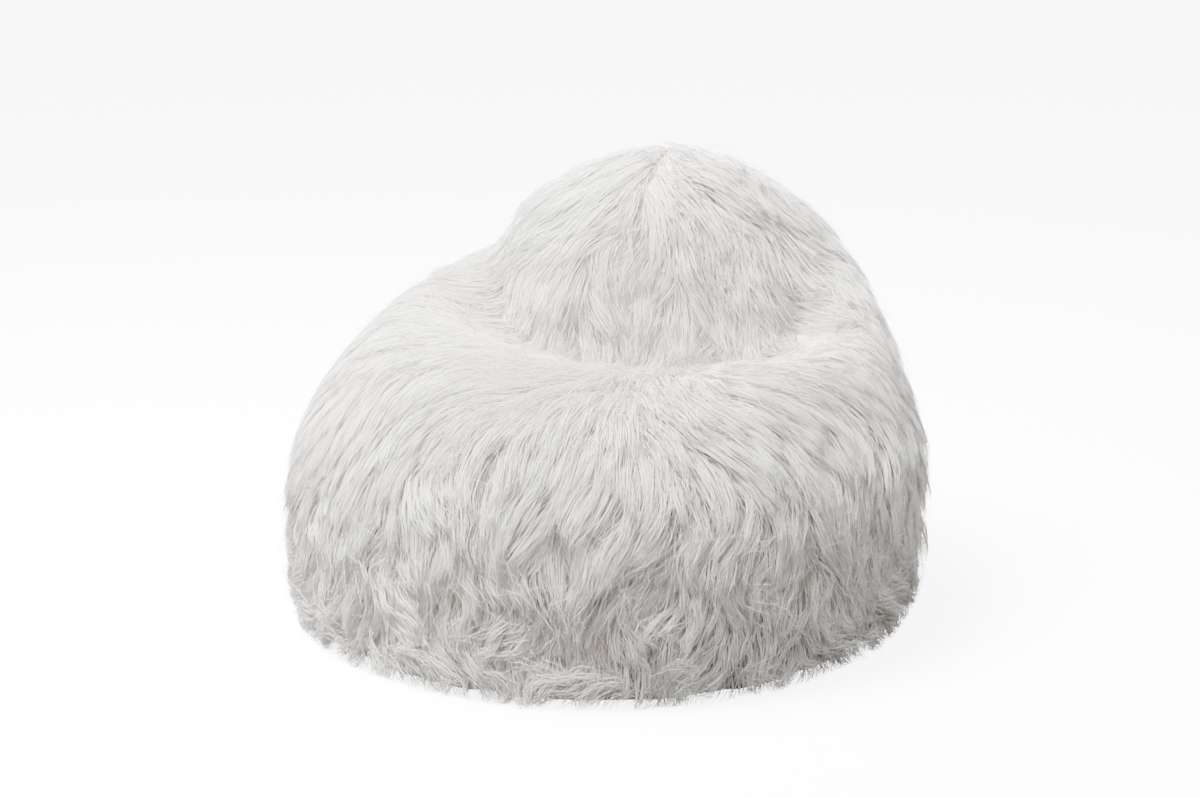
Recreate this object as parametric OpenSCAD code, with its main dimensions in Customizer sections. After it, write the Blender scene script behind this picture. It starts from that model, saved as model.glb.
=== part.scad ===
// Bean bag chair: a removable cover of long-wool pelts over a zipped liner full of beads.
// Millimetres, +Z up, the front of the seat towards -Y, origin at the base's centre on the floor.

/* [Bag] */
// Width over the wool
bag_w = 950; // [800:5:1200]
// Depth over the wool, front to back
bag_d = 915; // [780:5:1150]
// Height of the back's top over the wool
back_h = 658; // [548:2:790]
// Height of the roll in front of the seat
seat_h = 402; // [334:2:484]
// Depth of the seat's crease below the front roll
seat_dip = 54; // [30:2:80]
// Height of the left arm, where it meets the back
left_arm_h = 474; // [394:2:570]
// Distance of the back's top behind the base's centre
back_offset = 185; // [140:5:230]
// Distance of the back's top to the right of the base's centre
back_side_offset = 72; // [0:2:100]

/* [Pelts] */
// Thickness of a pelt, its hide and its standing wool together
pelt_t = 50; // [35:1:60]
// Number of side pelts around the bag
pelt_count = 6; // [6]
// Room left at each seam between two pelts
seam_gap = 0.6; // [0.2:0.1:1.5]

/* [Base] */
// How far the wool's edge on the floor lies in from the widest part of the bag
floor_inset = 18; // [10:1:40]
// Thickness of the leather base
base_t = 3; // [2:0.5:5]
// Diameter of the piping in the base seam
welt_d = 6; // [4:0.5:9]
// Thickness of the turned hem beside the zip
hem_t = 3; // [2:0.5:4]

/* [Cover zip] */
// Distance of the zip behind the base's centre
zip_y = 130; // [100:5:160]
// From each end of the zip's opening to the edge of the base
zip_margin = 32; // [20:1:60]
// Height of the hem that the zip is sewn to, which keeps it off the floor
zip_rise = 12; // [11:0.5:18]
// Width of each tape beside its coil
tape_w = 19; // [14:0.5:24]
// Thickness of a tape
tape_t = 0.9; // [0.6:0.1:1.2]
// Width of each half of the coil
coil_w = 4.2; // [3.4:0.1:5]
// Thickness of the coil
coil_t = 3.4; // [2.6:0.1:4]
// Length of the slider
slider_l = 18; // [15:0.5:22]
// Thickness of the slider's plates
slider_plate_t = 1.8; // [1.4:0.1:2.2]
// Length of the pull, from its pivot
pull_l = 34; // [26:1:36]
// Width of the pull
pull_w = 9; // [7:0.5:11]
// Thickness of the pull
pull_t = 2; // [1.6:0.1:2.2]
// Angle that the pull hangs below level
pull_droop = 8; // [3:1:8]

/* [Liner] */
// Thickness of the liner's cloth
liner_t = 1.2; // [0.8:0.1:2]
// Room between the liner and what it lies against
liner_ease = 0.8; // [0.5:0.1:2]
// Number of side panels of the liner
liner_count = 4; // [4]
// Distance of the liner's zip behind the base's centre
liner_zip_y = 30; // [0:5:40]
// From each end of the liner zip's opening to the edge of the base
liner_zip_margin = 90; // [60:5:140]

/* [Hidden] */

wool_colour = "#eceae4";
leather_colour = "#cfc6b8";
cloth_colour = "#f4f1ea";
tape_colour = "#d9d4c8";
metal_colour = "#b9bcc0";
bead_colour = "#fafafa";

half_w = bag_w / 2;
half_d = bag_d / 2;
apex = [back_side_offset, back_offset];
// The wool's surface is drawn through stations, from the floor (0) up the side, over the roll round the seat
// (5), down its crease (7) and up the back to its top (last). lean is each station's share of the way from the
// base's centre to the point under the back's top.
lean = [0, .02, .05, .12, .22, .38, .55, .75, .85, .92, .97, .99, 1];
last = len(lean) - 1;
crown_station = 10;
rows_per_station = 2;
columns = 48;
crown_rows = (last - crown_station) * rows_per_station;
gore_rows = crown_station * rows_per_station;
dip = seat_dip / seat_h;
side_h = mix(seat_h, back_h, .13); // where the right side and the rear start to lean in

// Each line holds its azimuth, the height of its roll, and for each station a share of the half width or depth
// and a level: 0 is the floor, 1 the roll and 2 the back's top. Station 0 is the base's circle.
right_line = [30, side_h, [
    [1, 0], [.985, .13], [1, .34], [.955, .62], [.875, .86], [.77, 1.06], [.65, 1.28], [.535, 1.47],
    [.42, 1.63], [.3, 1.77], [.185, 1.88], [.09, 1.965], [0, 2]
]];
back_line = [90, side_h, [
    [1, 0], [.985, .13], [1, .35], [.97, .64], [.9, .9], [.79, 1.15], [.655, 1.4], [.515, 1.6],
    [.39, 1.75], [.28, 1.855], [.17, 1.93], [.08, 1.98], [0, 2]
]];
back_left_line = [130, left_arm_h, [
    [1, 0], [.985, .12], [1, .32], [.965, .56], [.895, .78], [.805, .95], [.7, 1.07], [.585, 1.2],
    [.475, 1.4], [.365, 1.62], [.24, 1.81], [.12, 1.94], [0, 2]
]];
left_line = [174, left_arm_h, [
    [1, 0], [.985, .12], [1, .31], [.96, .54], [.88, .74], [.795, .88], [.71, .96], [.625, .99],
    [.56, 1.26], [.455, 1.62], [.3, 1.84], [.15, 1.95], [0, 2]
]];
front_left_line = [222, mix(seat_h, left_arm_h, .3), [
    [1, 0], [.985, .13], [1, .34], [.95, .62], [.855, .83], [.74, .955], [.61, 1 - .2 * dip], [.48, 1 - .85 * dip],
    [.44, 1.13], [.375, 1.48], [.27, 1.77], [.14, 1.93], [0, 2]
]];
front_line = [268, seat_h, [
    [1, 0], [.985, .14], [1, .4], [.935, .72], [.79, .93], [.6, .995], [.45, 1 - .48 * dip], [.36, 1 - dip],
    [.33, 1.1], [.3, 1.45], [.24, 1.75], [.14, 1.93], [0, 2]
]];
front_right_line = [308, seat_h, [
    [1, 0], [.985, .14], [1, .38], [.935, .7], [.8, .92], [.62, .995], [.46, 1 - .4 * dip], [.35, 1 - .85 * dip],
    [.33, 1.12], [.295, 1.45], [.225, 1.74], [.13, 1.92], [0, 2]
]];
right_front_line = [338, seat_h, [
    [1, 0], [.985, .14], [1, .37], [.94, .69], [.82, .91], [.69, 1], [.565, 1 - .15 * dip], [.455, 1 - .25 * dip],
    [.4, 1.22], [.325, 1.5], [.23, 1.74], [.125, 1.92], [0, 2]
]];
lines = [
    right_line, back_line, back_left_line, left_line, front_left_line, front_line, front_right_line,
    right_front_line, [right_line[0] + 360, side_h, right_line[2]]
];

floor_r = min(half_w, half_d) - floor_inset;
base_r = floor_r - pelt_t;
base_clearance = 0.5;
flat = cos(180 / columns); // from the corner radius of a ring to its flats
welt_r = base_r * flat - base_clearance - welt_d / 2;
panel_r = welt_r - welt_d / 2 - base_clearance;
liner_z = base_t + liner_ease;

// Each layer's faces lie on straight lines to the core, which keeps the layers nested at any size.
core = [apex[0] / 2, apex[1] * 0.45, seat_h / 2];

// The liner rises outwards over the piping, and starts further in where a wide bag makes its rise flatter.
flattest = min([for (i = [0 : columns - 1]) liner_rise(i * 360 / columns)]);
liner_r = min(
    panel_r - liner_ease, welt_r - (base_clearance + welt_d + liner_ease / 2 - liner_z) / flattest
);

// Layers of the bag: [depth of the outer face below the wool, depth of the inner face, height and radii at the floor]
pelt_layer = [0, pelt_t, 0, floor_r, base_r];
liner_layer = [
    pelt_t + liner_ease, pelt_t + liner_ease + liner_t, liner_z, liner_r, liner_r - liner_t
];
fill_depth = pelt_t + 2 * liner_ease + liner_t;
fill_z = liner_z + liner_t + liner_ease;
fill_r = liner_r - liner_t - liner_ease;

// A zip is [y, half length of the coil, rise of its hem, tape width, tape thickness, coil width, coil thickness,
// slit between the coils, slider length, plate thickness, half width of the opening, room at each end, zip's floor]
coil_slit = 2.4;
opening_half = 13;
end_room = 30;
zip_half = chord(panel_r, zip_y + opening_half + hem_t) - zip_margin - end_room;
cover_zip = [
    zip_y, zip_half, zip_rise, tape_w, tape_t, coil_w, coil_t, coil_slit, slider_l, slider_plate_t,
    opening_half, end_room, 0
];
liner_zip_half = chord(liner_r, liner_zip_y) - liner_zip_margin;
liner_opening_half = 9;
liner_zip_room = 6;
liner_zip = [
    liner_zip_y, liner_zip_half, 10, 13, 0.7, 2.8, 2.4, 1.8, 12, 1.4, liner_opening_half, liner_zip_room, liner_z
];
run_clearance = 0.45; // between the slider and what it runs along
pin_r = 1.05;
pin_clearance = 0.05;
lug_r = 2.2;
lug_w = 3;
ear_r = 1.95;
ear_gap = 0.3;

function chord(r, y) = sqrt(r * r - y * y);
function smooth(t) = t * t * (3 - 2 * t);
function mix(a, b, t) = a + (b - a) * t;
function unit(v) = v / norm(v);
function round_point(a, r, z) = [r * cos(a), r * sin(a), z];

function level(line, k) =
    let (f = line[2][k][1]) f < 1 ? f * line[1] : line[1] + (f - 1) * (back_h - line[1]);

// The last of the lines that an azimuth has passed
function line_before(a) = max([for (i = [0 : len(lines) - 2]) if (lines[i][0] <= a) i]);

// A station's point at an azimuth, blended between the two lines beside it
function station(a, k) =
    let (w = a < lines[0][0] ? a + 360 : a, i = line_before(w), p = lines[i], q = lines[i + 1])
    let (t = smooth((w - p[0]) / (q[0] - p[0])))
    let (share = mix(p[2][k][0], q[2][k][0], t), z = mix(level(p, k), level(q, k), t))
    k == 0
        ? round_point(a, floor_r, 0)
        : [lean[k] * apex[0] + share * half_w * cos(a), lean[k] * apex[1] + share * half_d * sin(a), z];

// The station before the first and the one after the last, so that the curve has an end slope
function padded_station(a, k) =
    k < 0 ? 2 * station(a, 0) - station(a, 1) : k > last ? station((a + 180) % 360, 2 * last - k) : station(a, k);

function through(p, q, r, s, t) =
    0.5 * (2 * q + (r - p) * t + (2 * p - 5 * q + 4 * r - s) * t * t + (3 * q - p - 3 * r + s) * t * t * t);

// The wool's surface at an azimuth and a station, whole or part
function skin(a, s) =
    let (k = min(floor(s), last - 1), w = (a + 360) % 360)
    through(padded_station(w, k - 1), padded_station(w, k), padded_station(w, k + 1), padded_station(w, k + 2), s - k);

// A point of a layer: depth below the wool towards the core, with its own circle at the floor
function layer_point(a, s, depth, low_z, low_r) =
    s == 0 ? round_point(a, low_r, low_z) : skin(a, s) - depth * unit(skin(a, s) - core);

// Slope of the liner's side at an azimuth, from its foot to its next row
function liner_rise(a) =
    let (p = layer_point(a, 1 / rows_per_station, pelt_t + liner_ease))
    (p[2] - liner_z) / (norm([p[0], p[1]]) - panel_r);

// Turns one edge column away from its neighbour by half the seam's room
function seam_angle(s) = asin(seam_gap / 2 / max(norm(skin(0, s) - skin(180, s)) / 2, 20));

function layer_grid(layer, inner, angles, stations) = [
    for (s = stations) for (i = [0 : len(angles) - 1])
        let (turn = i == 0 ? seam_angle(s) : i == len(angles) - 1 ? -seam_angle(s) : 0)
        layer_point(angles[i] + turn, s, layer[inner], layer[2], layer[3 + inner])
];

function quad_faces(w, h, start, flip) = [
    for (j = [0 : h - 2]) for (i = [0 : w - 2])
        let (a = start + j * w + i, b = a + 1, c = b + w, d = a + w)
        each flip ? [[a, b, c], [a, c, d]] : [[c, b, a], [d, c, a]]
];

// The edge strip between the outer grid's path and the inner grid's same path. Both sides of a seam have to be
// split the same way, so the split is turned over where the path runs the other way.
function edge_faces(path, shift, turned) = [
    for (k = [0 : len(path) - 2])
        let (a = path[k], b = path[k + 1], c = b + shift, d = a + shift)
        each turned ? [[a, b, d], [b, c, d]] : [[a, b, c], [a, c, d]]
];

// A side panel of a layer, a closed shell from the floor to the crown
module gore(layer, count, index, centre) {
    step = 360 / columns;
    half = 180 / count;
    angles = [for (a = [centre - half : step : centre + half + step / 4]) a];
    seam_s = seam_gap / 100;
    stations = [for (j = [0 : gore_rows]) j / rows_per_station - (j == gore_rows ? seam_s : 0)];
    w = len(angles);
    h = len(stations);
    n = w * h;
    floor_rim = [for (i = [0 : w - 1]) i];
    far_rim = [for (j = [0 : h - 1]) j * w + w - 1];
    top_rim = [for (i = [w - 1 : -1 : 0]) (h - 1) * w + i];
    near_rim = [for (j = [h - 1 : -1 : 0]) j * w];
    polyhedron(
        points = concat(layer_grid(layer, 0, angles, stations), layer_grid(layer, 1, angles, stations)),
        faces = concat(
            quad_faces(w, h, 0, false), quad_faces(w, h, n, true), edge_faces(floor_rim, n, false),
            edge_faces(far_rim, n, false), edge_faces(top_rim, n, true), edge_faces(near_rim, n, true)
        ),
        convexity = 6
    );
}

function ring_points(depth, stations, floor_z, floor_r) = [
    for (s = stations) for (i = [0 : columns - 1]) layer_point(i * 360 / columns, s, depth, floor_z, floor_r)
];

function ring_faces(h, start, flip) = [
    for (j = [0 : h - 2]) for (i = [0 : columns - 1])
        let (n = (i + 1) % columns, a = start + j * columns + i, b = start + j * columns + n)
        let (c = b + columns, d = a + columns)
        each flip ? [[a, b, c], [a, c, d]] : [[c, b, a], [d, c, a]]
];

function fan_faces(ring, tip, flip) = [
    for (i = [0 : columns - 1])
        let (a = ring + i, b = ring + (i + 1) % columns)
        flip ? [a, b, tip] : [tip, b, a]
];

// The round cap of a layer, where its side panels meet
module crown(layer) {
    stations = [for (j = [0 : crown_rows - 1]) crown_station + j / rows_per_station];
    h = len(stations);
    n = h * columns;
    tip_out = 2 * n;
    polyhedron(
        points = concat(
            ring_points(layer[0], stations, 0, 0), ring_points(layer[1], stations, 0, 0),
            [layer_point(0, last, layer[0], 0, 0), layer_point(0, last, layer[1], 0, 0)]
        ),
        faces = concat(
            ring_faces(h, 0, false), ring_faces(h, n, true),
            fan_faces(n - columns, tip_out, false), fan_faces(2 * n - columns, tip_out + 1, true),
            edge_faces([for (i = [0 : columns]) i % columns], n, false)
        ),
        convexity = 6
    );
}

module pelt(index) {
    color(wool_colour) gore(pelt_layer, pelt_count, index, 270 + index * 360 / pelt_count);
}

module pelt_crown() {
    color(wool_colour) crown(pelt_layer);
}

module half_disc(r, t, y_edge, side) {
    intersection() {
        cylinder(r = r, h = t, $fn = 180);
        translate([-r, side > 0 ? y_edge : y_edge - 2 * r, 0]) cube([2 * r, 2 * r, t]);
    }
}

// One half of the leather base, with the hem that turns up beside the zip
module base_panel(side) {
    edge = zip_y + side * opening_half;
    long = zip_half + end_room;
    color(leather_colour) union() {
        half_disc(panel_r, base_t, edge, side);
        translate([-long, side > 0 ? edge : edge - hem_t, 0]) cube([2 * long, hem_t, zip_rise]);
    }
}

// The leather tab that closes the base past one end of the zip
module base_end_tab(side) {
    start = zip_half + end_room;
    room = base_clearance / 2;
    color(leather_colour) intersection() {
        cylinder(r = panel_r, h = base_t, $fn = 180);
        translate([side > 0 ? start : -panel_r, zip_y - opening_half + room, 0])
            cube([panel_r - start, 2 * (opening_half - room), base_t]);
    }
}

module base_welt() {
    color(leather_colour)
        translate([0, 0, welt_d / 2 + base_clearance])
            rotate_extrude($fn = 180)
                translate([welt_r, 0]) circle(d = welt_d, $fn = 24);
}

function zip_level(z) = z[12] + z[2] + z[4] / 2; // the middle plane of a zip's tapes

module zip_tape(z, side) {
    inner = z[7] / 2 + z[5];
    long = z[1] + z[11] / 2;
    color(tape_colour)
        translate([-long, z[0] + (side > 0 ? inner : -inner - z[3]), z[12] + z[2]])
            cube([2 * long, z[3], z[4]]);
}

// Half of the coil, a bar with chamfered corners along the tape's edge
module zip_coil(z, side) {
    w = z[5] / 2;
    h = z[6] / 2;
    c = z[6] / 4;
    color(tape_colour)
        translate([-z[1], z[0] + side * (z[7] / 2 + z[5] / 2), zip_level(z)])
            rotate([90, 0, 90])
                linear_extrude(2 * z[1])
                    polygon([
                        [w, c - h], [w, h - c], [w - c, h], [c - w, h], [-w, h - c], [-w, c - h], [c - w, -h], [w - c, -h]
                    ]);
}

module zip_stop(z, x, y_low, y_high, l) {
    color(metal_colour)
        translate([x, z[0] + y_low, zip_level(z) - z[6] / 2])
            cube([l, y_high - y_low, z[6]]);
}

module top_stops(z) {
    for (side = [-1, 1]) {
        near = z[7] / 2;
        far = z[7] / 2 + z[5];
        zip_stop(z, z[1] + 0.05, side > 0 ? near : -far, side > 0 ? far : -near, stop_l);
    }
}

stop_l = 4;
module bottom_stop(z) {
    far = z[7] / 2 + z[5];
    zip_stop(z, -z[1] - stop_l - 0.05, -far, far, stop_l);
}

// A slider at x = 0: two plates, their flanges and the post between the coils
module slider_body(z) {
    wall = 1.4;
    half = z[7] / 2 + z[5] + run_clearance + wall;
    gap = z[6] / 2 + run_clearance;
    lip = z[4] / 2 + run_clearance;
    nose = half * 0.72;
    post_l = z[8] / 4;
    for (up = [0, 1]) mirror([0, 0, up]) {
        translate([0, 0, gap])
            linear_extrude(z[9])
                polygon([
                    [-z[8] / 2, -nose], [-z[8] / 4, -half], [z[8] / 3, -half], [z[8] / 2, -nose],
                    [z[8] / 2, nose], [z[8] / 3, half], [-z[8] / 4, half], [-z[8] / 2, nose]
                ]);
        for (side = [-1, 1])
            translate([-z[8] / 4, side > 0 ? half - wall : -half, lip])
                cube([z[8] * 7 / 12, wall, gap - lip + z[9] / 2]);
    }
    translate([z[8] / 2 - post_l - 0.5, -z[7] / 2 + run_clearance, -gap - z[9] / 2])
        cube([post_l, z[7] - 2 * run_clearance, 2 * gap + z[9]]);
}

slider_rest_x = zip_half - slider_l / 2 - 1;
lug_drop = slider_plate_t + coil_t / 2 + run_clearance + lug_r; // from the tapes' plane down to the pull's pivot
pivot_z = zip_level(cover_zip) - lug_drop;

module zip_slider() {
    color(metal_colour) translate([slider_rest_x, zip_y, 0]) difference() {
        union() {
            translate([0, 0, zip_level(cover_zip)]) slider_body(cover_zip);
            translate([0, 0, pivot_z]) rotate([90, 0, 0]) cylinder(r = lug_r, h = lug_w, center = true, $fn = 48);
            translate([-lug_r, -lug_w / 2, pivot_z]) cube([2 * lug_r, lug_w, lug_r + slider_plate_t / 2]);
        }
        translate([0, 0, pivot_z])
            rotate([90, 0, 0]) cylinder(r = pin_r + pin_clearance, h = 2 * lug_w, center = true, $fn = 48);
    }
}

// The pull: two ears on a pin through the slider's lug, and a flat tab with a finger hole
module zip_pull() {
    ear_w = (pull_w - lug_w) / 2 - ear_gap;
    start = lug_r + 0.8;
    hole_r = pull_w / 4;
    color(metal_colour)
        translate([slider_rest_x, zip_y, pivot_z]) rotate([0, -pull_droop, 0]) union() {
            rotate([90, 0, 0]) cylinder(r = pin_r, h = pull_w - ear_w, center = true, $fn = 48);
            for (side = [-1, 1]) {
                translate([0, side * (pull_w - ear_w) / 2, 0])
                    rotate([90, 0, 0]) cylinder(r = ear_r, h = ear_w, center = true, $fn = 48);
                translate([-start - 1, side * (pull_w - ear_w) / 2 - ear_w / 2, -pull_t / 2])
                    cube([start + 1, ear_w, pull_t]);
            }
            difference() {
                union() {
                    translate([-pull_l + pull_w / 2, -pull_w / 2, -pull_t / 2])
                        cube([pull_l - pull_w / 2 - start, pull_w, pull_t]);
                    translate([-pull_l + pull_w / 2, 0, 0])
                        cylinder(d = pull_w, h = pull_t, center = true, $fn = 48);
                }
                translate([-pull_l + pull_w / 2, 0, 0])
                    cylinder(r = hole_r, h = 2 * pull_t, center = true, $fn = 48);
            }
        }
}

module liner_panel(index) {
    color(cloth_colour) gore(liner_layer, liner_count, index, index * 360 / liner_count);
}

module liner_crown() {
    color(cloth_colour) crown(liner_layer);
}

// The room that the cover's zip needs over it, as [half length, half width, top]
tunnel_long = zip_half + end_room + 8;
tunnel_half = opening_half + hem_t + tape_w;
tunnel_top = zip_level(cover_zip) + coil_t / 2 + run_clearance + slider_plate_t + 2;
liner_zip_top = zip_level(liner_zip) + 4.5;
liner_hem = liner_zip[10] + liner_t;

module block(half_l, y, half_width, z0, z1) {
    translate([-half_l, y - half_width, z0]) cube([2 * half_l, 2 * half_width, z1 - z0]);
}

// The liner's round base: a tunnel over the cover's zip, and the turned hem of its own zip
module liner_base() {
    opening_long = liner_zip_half + liner_zip_room;
    r = (liner_r - liner_t) * flat - liner_ease / 2;
    color(cloth_colour) difference() {
        union() {
            translate([0, 0, liner_z]) cylinder(r = r, h = liner_t, $fn = 180);
            block(tunnel_long + liner_t, zip_y, tunnel_half + liner_t, liner_z, tunnel_top + liner_t);
            block(opening_long + liner_t, liner_zip_y, liner_hem, liner_z, liner_z + liner_zip[2]);
        }
        block(tunnel_long, zip_y, tunnel_half, liner_z - 1, tunnel_top);
        block(opening_long, liner_zip_y, liner_zip[10], liner_z - 1, liner_z + liner_zip[2] + 1);
    }
}

// The liner's slider has no pull, so that a child can't open the liner
module liner_zip_slider() {
    bridge = 2;
    drop = liner_zip[6] / 2 + run_clearance + liner_zip[9];
    color(metal_colour)
        translate([liner_zip_half - liner_zip[8] / 2 - 1, liner_zip_y, zip_level(liner_zip)]) {
            slider_body(liner_zip);
            translate([-bridge, -bridge / 2, -drop - bridge / 2]) cube([2 * bridge, bridge, bridge]);
        }
}

module liner_zip_stops() {
    top_stops(liner_zip);
    bottom_stop(liner_zip);
}

// The beads, one soft mass that fills the liner around the two zips
module bead_fill() {
    stations = [for (j = [0 : last * rows_per_station - 1]) j / rows_per_station];
    h = len(stations);
    n = h * columns;
    ease = liner_t + liner_ease;
    color(bead_colour) difference() {
        polyhedron(
            points = concat(
                ring_points(fill_depth, stations, fill_z, fill_r),
                [layer_point(0, last, fill_depth, 0, 0), [0, 0, fill_z]]
            ),
            faces = concat(ring_faces(h, 0, false), fan_faces(n - columns, n, false), fan_faces(0, n + 1, true)),
            convexity = 6
        );
        block(tunnel_long + ease, zip_y, tunnel_half + ease, fill_z - 1, tunnel_top + ease);
        block(liner_zip_half + liner_zip_room + ease, liner_zip_y, liner_zip[10] + liner_zip[3], fill_z - 1,
            liner_zip_top);
    }
}

pelt_names = ["pelt_front", "pelt_front_right", "pelt_back_right", "pelt_back", "pelt_back_left", "pelt_front_left"];
liner_names = ["liner_panel_right", "liner_panel_back", "liner_panel_left", "liner_panel_front"];

for (i = [0 : pelt_count - 1]) pelt(i);
pelt_crown();
base_panel(-1);  // base_panel_front
base_panel(1);  // base_panel_rear
base_end_tab(-1);  // base_end_tab_left
base_end_tab(1);  // base_end_tab_right
base_welt();
zip_tape(cover_zip, -1);  // zip_tape_front
zip_tape(cover_zip, 1);  // zip_tape_rear
zip_coil(cover_zip, -1);  // zip_coil_front
zip_coil(cover_zip, 1);  // zip_coil_rear
top_stops(cover_zip);  // zip_top_stops
bottom_stop(cover_zip);  // zip_bottom_stop
zip_slider();
zip_pull();
for (i = [0 : liner_count - 1]) liner_panel(i);
liner_crown();
liner_base();
zip_tape(liner_zip, -1);  // liner_zip_tape_front
zip_tape(liner_zip, 1);  // liner_zip_tape_rear
zip_coil(liner_zip, -1);  // liner_zip_coil_front
zip_coil(liner_zip, 1);  // liner_zip_coil_rear
liner_zip_stops();
liner_zip_slider();
bead_fill();
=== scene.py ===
"""Bean bag chair in long white wool: pelts, leather base, zips, inner bag, beads and studio."""

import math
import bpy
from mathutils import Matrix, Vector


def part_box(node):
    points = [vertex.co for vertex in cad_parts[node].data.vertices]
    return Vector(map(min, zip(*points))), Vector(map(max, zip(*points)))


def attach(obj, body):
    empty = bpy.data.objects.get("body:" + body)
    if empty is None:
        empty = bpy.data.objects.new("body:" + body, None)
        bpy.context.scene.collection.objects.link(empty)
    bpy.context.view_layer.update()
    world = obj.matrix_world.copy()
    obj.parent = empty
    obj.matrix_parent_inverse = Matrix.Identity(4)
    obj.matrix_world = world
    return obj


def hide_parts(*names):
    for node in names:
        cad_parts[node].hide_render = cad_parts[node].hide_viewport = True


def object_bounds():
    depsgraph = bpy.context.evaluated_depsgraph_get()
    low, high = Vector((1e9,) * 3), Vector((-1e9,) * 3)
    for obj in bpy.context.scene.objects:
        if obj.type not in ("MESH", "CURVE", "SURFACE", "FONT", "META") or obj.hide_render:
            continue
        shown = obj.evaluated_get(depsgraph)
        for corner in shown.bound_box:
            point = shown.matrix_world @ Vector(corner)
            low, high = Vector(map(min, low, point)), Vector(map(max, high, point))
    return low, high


bl_info = {
    "name": "Wool Bean Bag Chair",
    "version": (1, 0, 0),
    "blender": (4, 5, 0),
    "location": "View3D > Sidebar > Bean Bag",
    "description": "Builds a bean bag chair in long white wool around its packed frame",
    "category": "Object",
}

import bpy
import numpy as np
from mathutils import Vector
from mathutils.bvhtree import BVHTree

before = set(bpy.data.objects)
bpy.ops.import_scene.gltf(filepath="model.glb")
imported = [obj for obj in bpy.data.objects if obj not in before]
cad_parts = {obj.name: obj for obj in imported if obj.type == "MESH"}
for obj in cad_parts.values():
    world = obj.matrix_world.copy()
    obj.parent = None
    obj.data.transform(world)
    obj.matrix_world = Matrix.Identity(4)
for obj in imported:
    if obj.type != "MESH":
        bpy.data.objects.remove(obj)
bpy.ops.object.select_all(action="DESELECT")
CAD_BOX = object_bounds()

SIDE_PELTS = (
    "pelt_front", "pelt_front_right", "pelt_back_right", "pelt_back", "pelt_back_left", "pelt_front_left",
)
PELTS = SIDE_PELTS + ("pelt_crown",)
LINER_PANELS = ("liner_panel_right", "liner_panel_back", "liner_panel_left", "liner_panel_front")
NOISE_SEED, TUFT_SEED, LOCK_SEED, STRAIGHT_SEED, CURLY_SEED = 7, 31, 11, 17, 13
UNDERCOAT_SEED, FLYAWAY_SEED, FLEECE_SEED, PIPING_SEED = 23, 41, 5, 3
TUFTS = 620
TUFT_REACH = 0.034
SEAM_GAP = 0.0012
# depths below the wool's outside, and [rows, columns] of the layers' grids
FLEECE_DEPTH, HIDE_DEPTH = 0.0215, 0.0495
COTTON_DEPTHS = 0.0508, 0.052
BEAD_DEPTH = 0.0529
HIDE_GRID, COTTON_GRID, CROWN_GRID, BEAD_GRID = (72, 36), (64, 48), (20, 72), (72, 144)
SHELL_LEVEL = 0.0008  # the pelts' foot above the floor
LOCK_ROOT, UNDERCOAT_ROOT, FLYAWAY_ROOT, FRINGE_ROOT = 0.021, 0.0225, 0.012, 0.004
WISP_CLEARANCE = 0.0012  # the lowest wisps above the floor


# ---------------------------------------------------------------- settings

class BeanBagWoolSettings(bpy.types.PropertyGroup):
    lock_length: bpy.props.FloatProperty(
        name="Lock length", description="Length of a full-grown lock of wool", default=0.112,
        min=0.05, max=0.15, subtype="DISTANCE", unit="LENGTH")
    lock_count: bpy.props.IntProperty(
        name="Locks", description="Number of long locks on the whole bag", default=5100,
        min=500, max=7000)
    hairs_per_lock: bpy.props.IntProperty(
        name="Wisps per lock", description="Wisps that gather into one lock's tip", default=11,
        min=3, max=16)
    under_count: bpy.props.IntProperty(
        name="Undercoat wisps", description="Number of short wisps under the locks", default=37000,
        min=2000, max=60000)
    flyaways: bpy.props.IntProperty(
        name="Flyaway wisps", description="Number of fine wisps that stand out from the rest", default=5200,
        min=0, max=10000)
    foot_fringe: bpy.props.IntProperty(
        name="Foot fringe wisps", description="About how many extra wisps stand in the fringe at the foot",
        default=1900, min=0, max=4000)
    wisp_width: bpy.props.FloatProperty(
        name="Wisp width", description="Width of a wisp near its root", default=0.00145,
        min=0.0005, max=0.004, subtype="DISTANCE", unit="LENGTH")
    curl: bpy.props.FloatProperty(
        name="Curl", description="Sideways swing of a wavy lock", default=0.0042,
        min=0.0, max=0.012, subtype="DISTANCE", unit="LENGTH")
    tip_colour: bpy.props.FloatVectorProperty(
        name="Tip colour", description="Colour of the outer half of the wool", subtype="COLOR",
        default=(0.88, 0.868, 0.836), min=0, max=1)
    root_colour: bpy.props.FloatVectorProperty(
        name="Root colour", description="Colour of the wool next to the hide", subtype="COLOR",
        default=(0.66, 0.585, 0.54), min=0, max=1)


class BeanBagLeatherSettings(bpy.types.PropertyGroup):
    suede_colour: bpy.props.FloatVectorProperty(
        name="Suede colour", description="Colour of the base's undyed suede", subtype="COLOR",
        default=(0.52, 0.44, 0.35), min=0, max=1)
    piping_colour: bpy.props.FloatVectorProperty(
        name="Piping colour", description="Colour of the piping's smooth leather", subtype="COLOR",
        default=(0.4, 0.32, 0.25), min=0, max=1)
    stitch_pitch: bpy.props.FloatProperty(
        name="Stitch length", description="From one stitch to the next", default=0.0065,
        min=0.003, max=0.012, subtype="DISTANCE", unit="LENGTH")


class BeanBagClothSettings(bpy.types.PropertyGroup):
    tape_colour: bpy.props.FloatVectorProperty(
        name="Tape colour", description="Colour of the zip tapes", subtype="COLOR",
        default=(0.68, 0.64, 0.56), min=0, max=1)
    liner_colour: bpy.props.FloatVectorProperty(
        name="Liner colour", description="Colour of the inner bag's cotton", subtype="COLOR",
        default=(0.82, 0.8, 0.76), min=0, max=1)
    coil_pitch: bpy.props.FloatProperty(
        name="Coil pitch", description="From one turn of a zip's coil to the next", default=0.0024,
        min=0.001, max=0.004, subtype="DISTANCE", unit="LENGTH")


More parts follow.
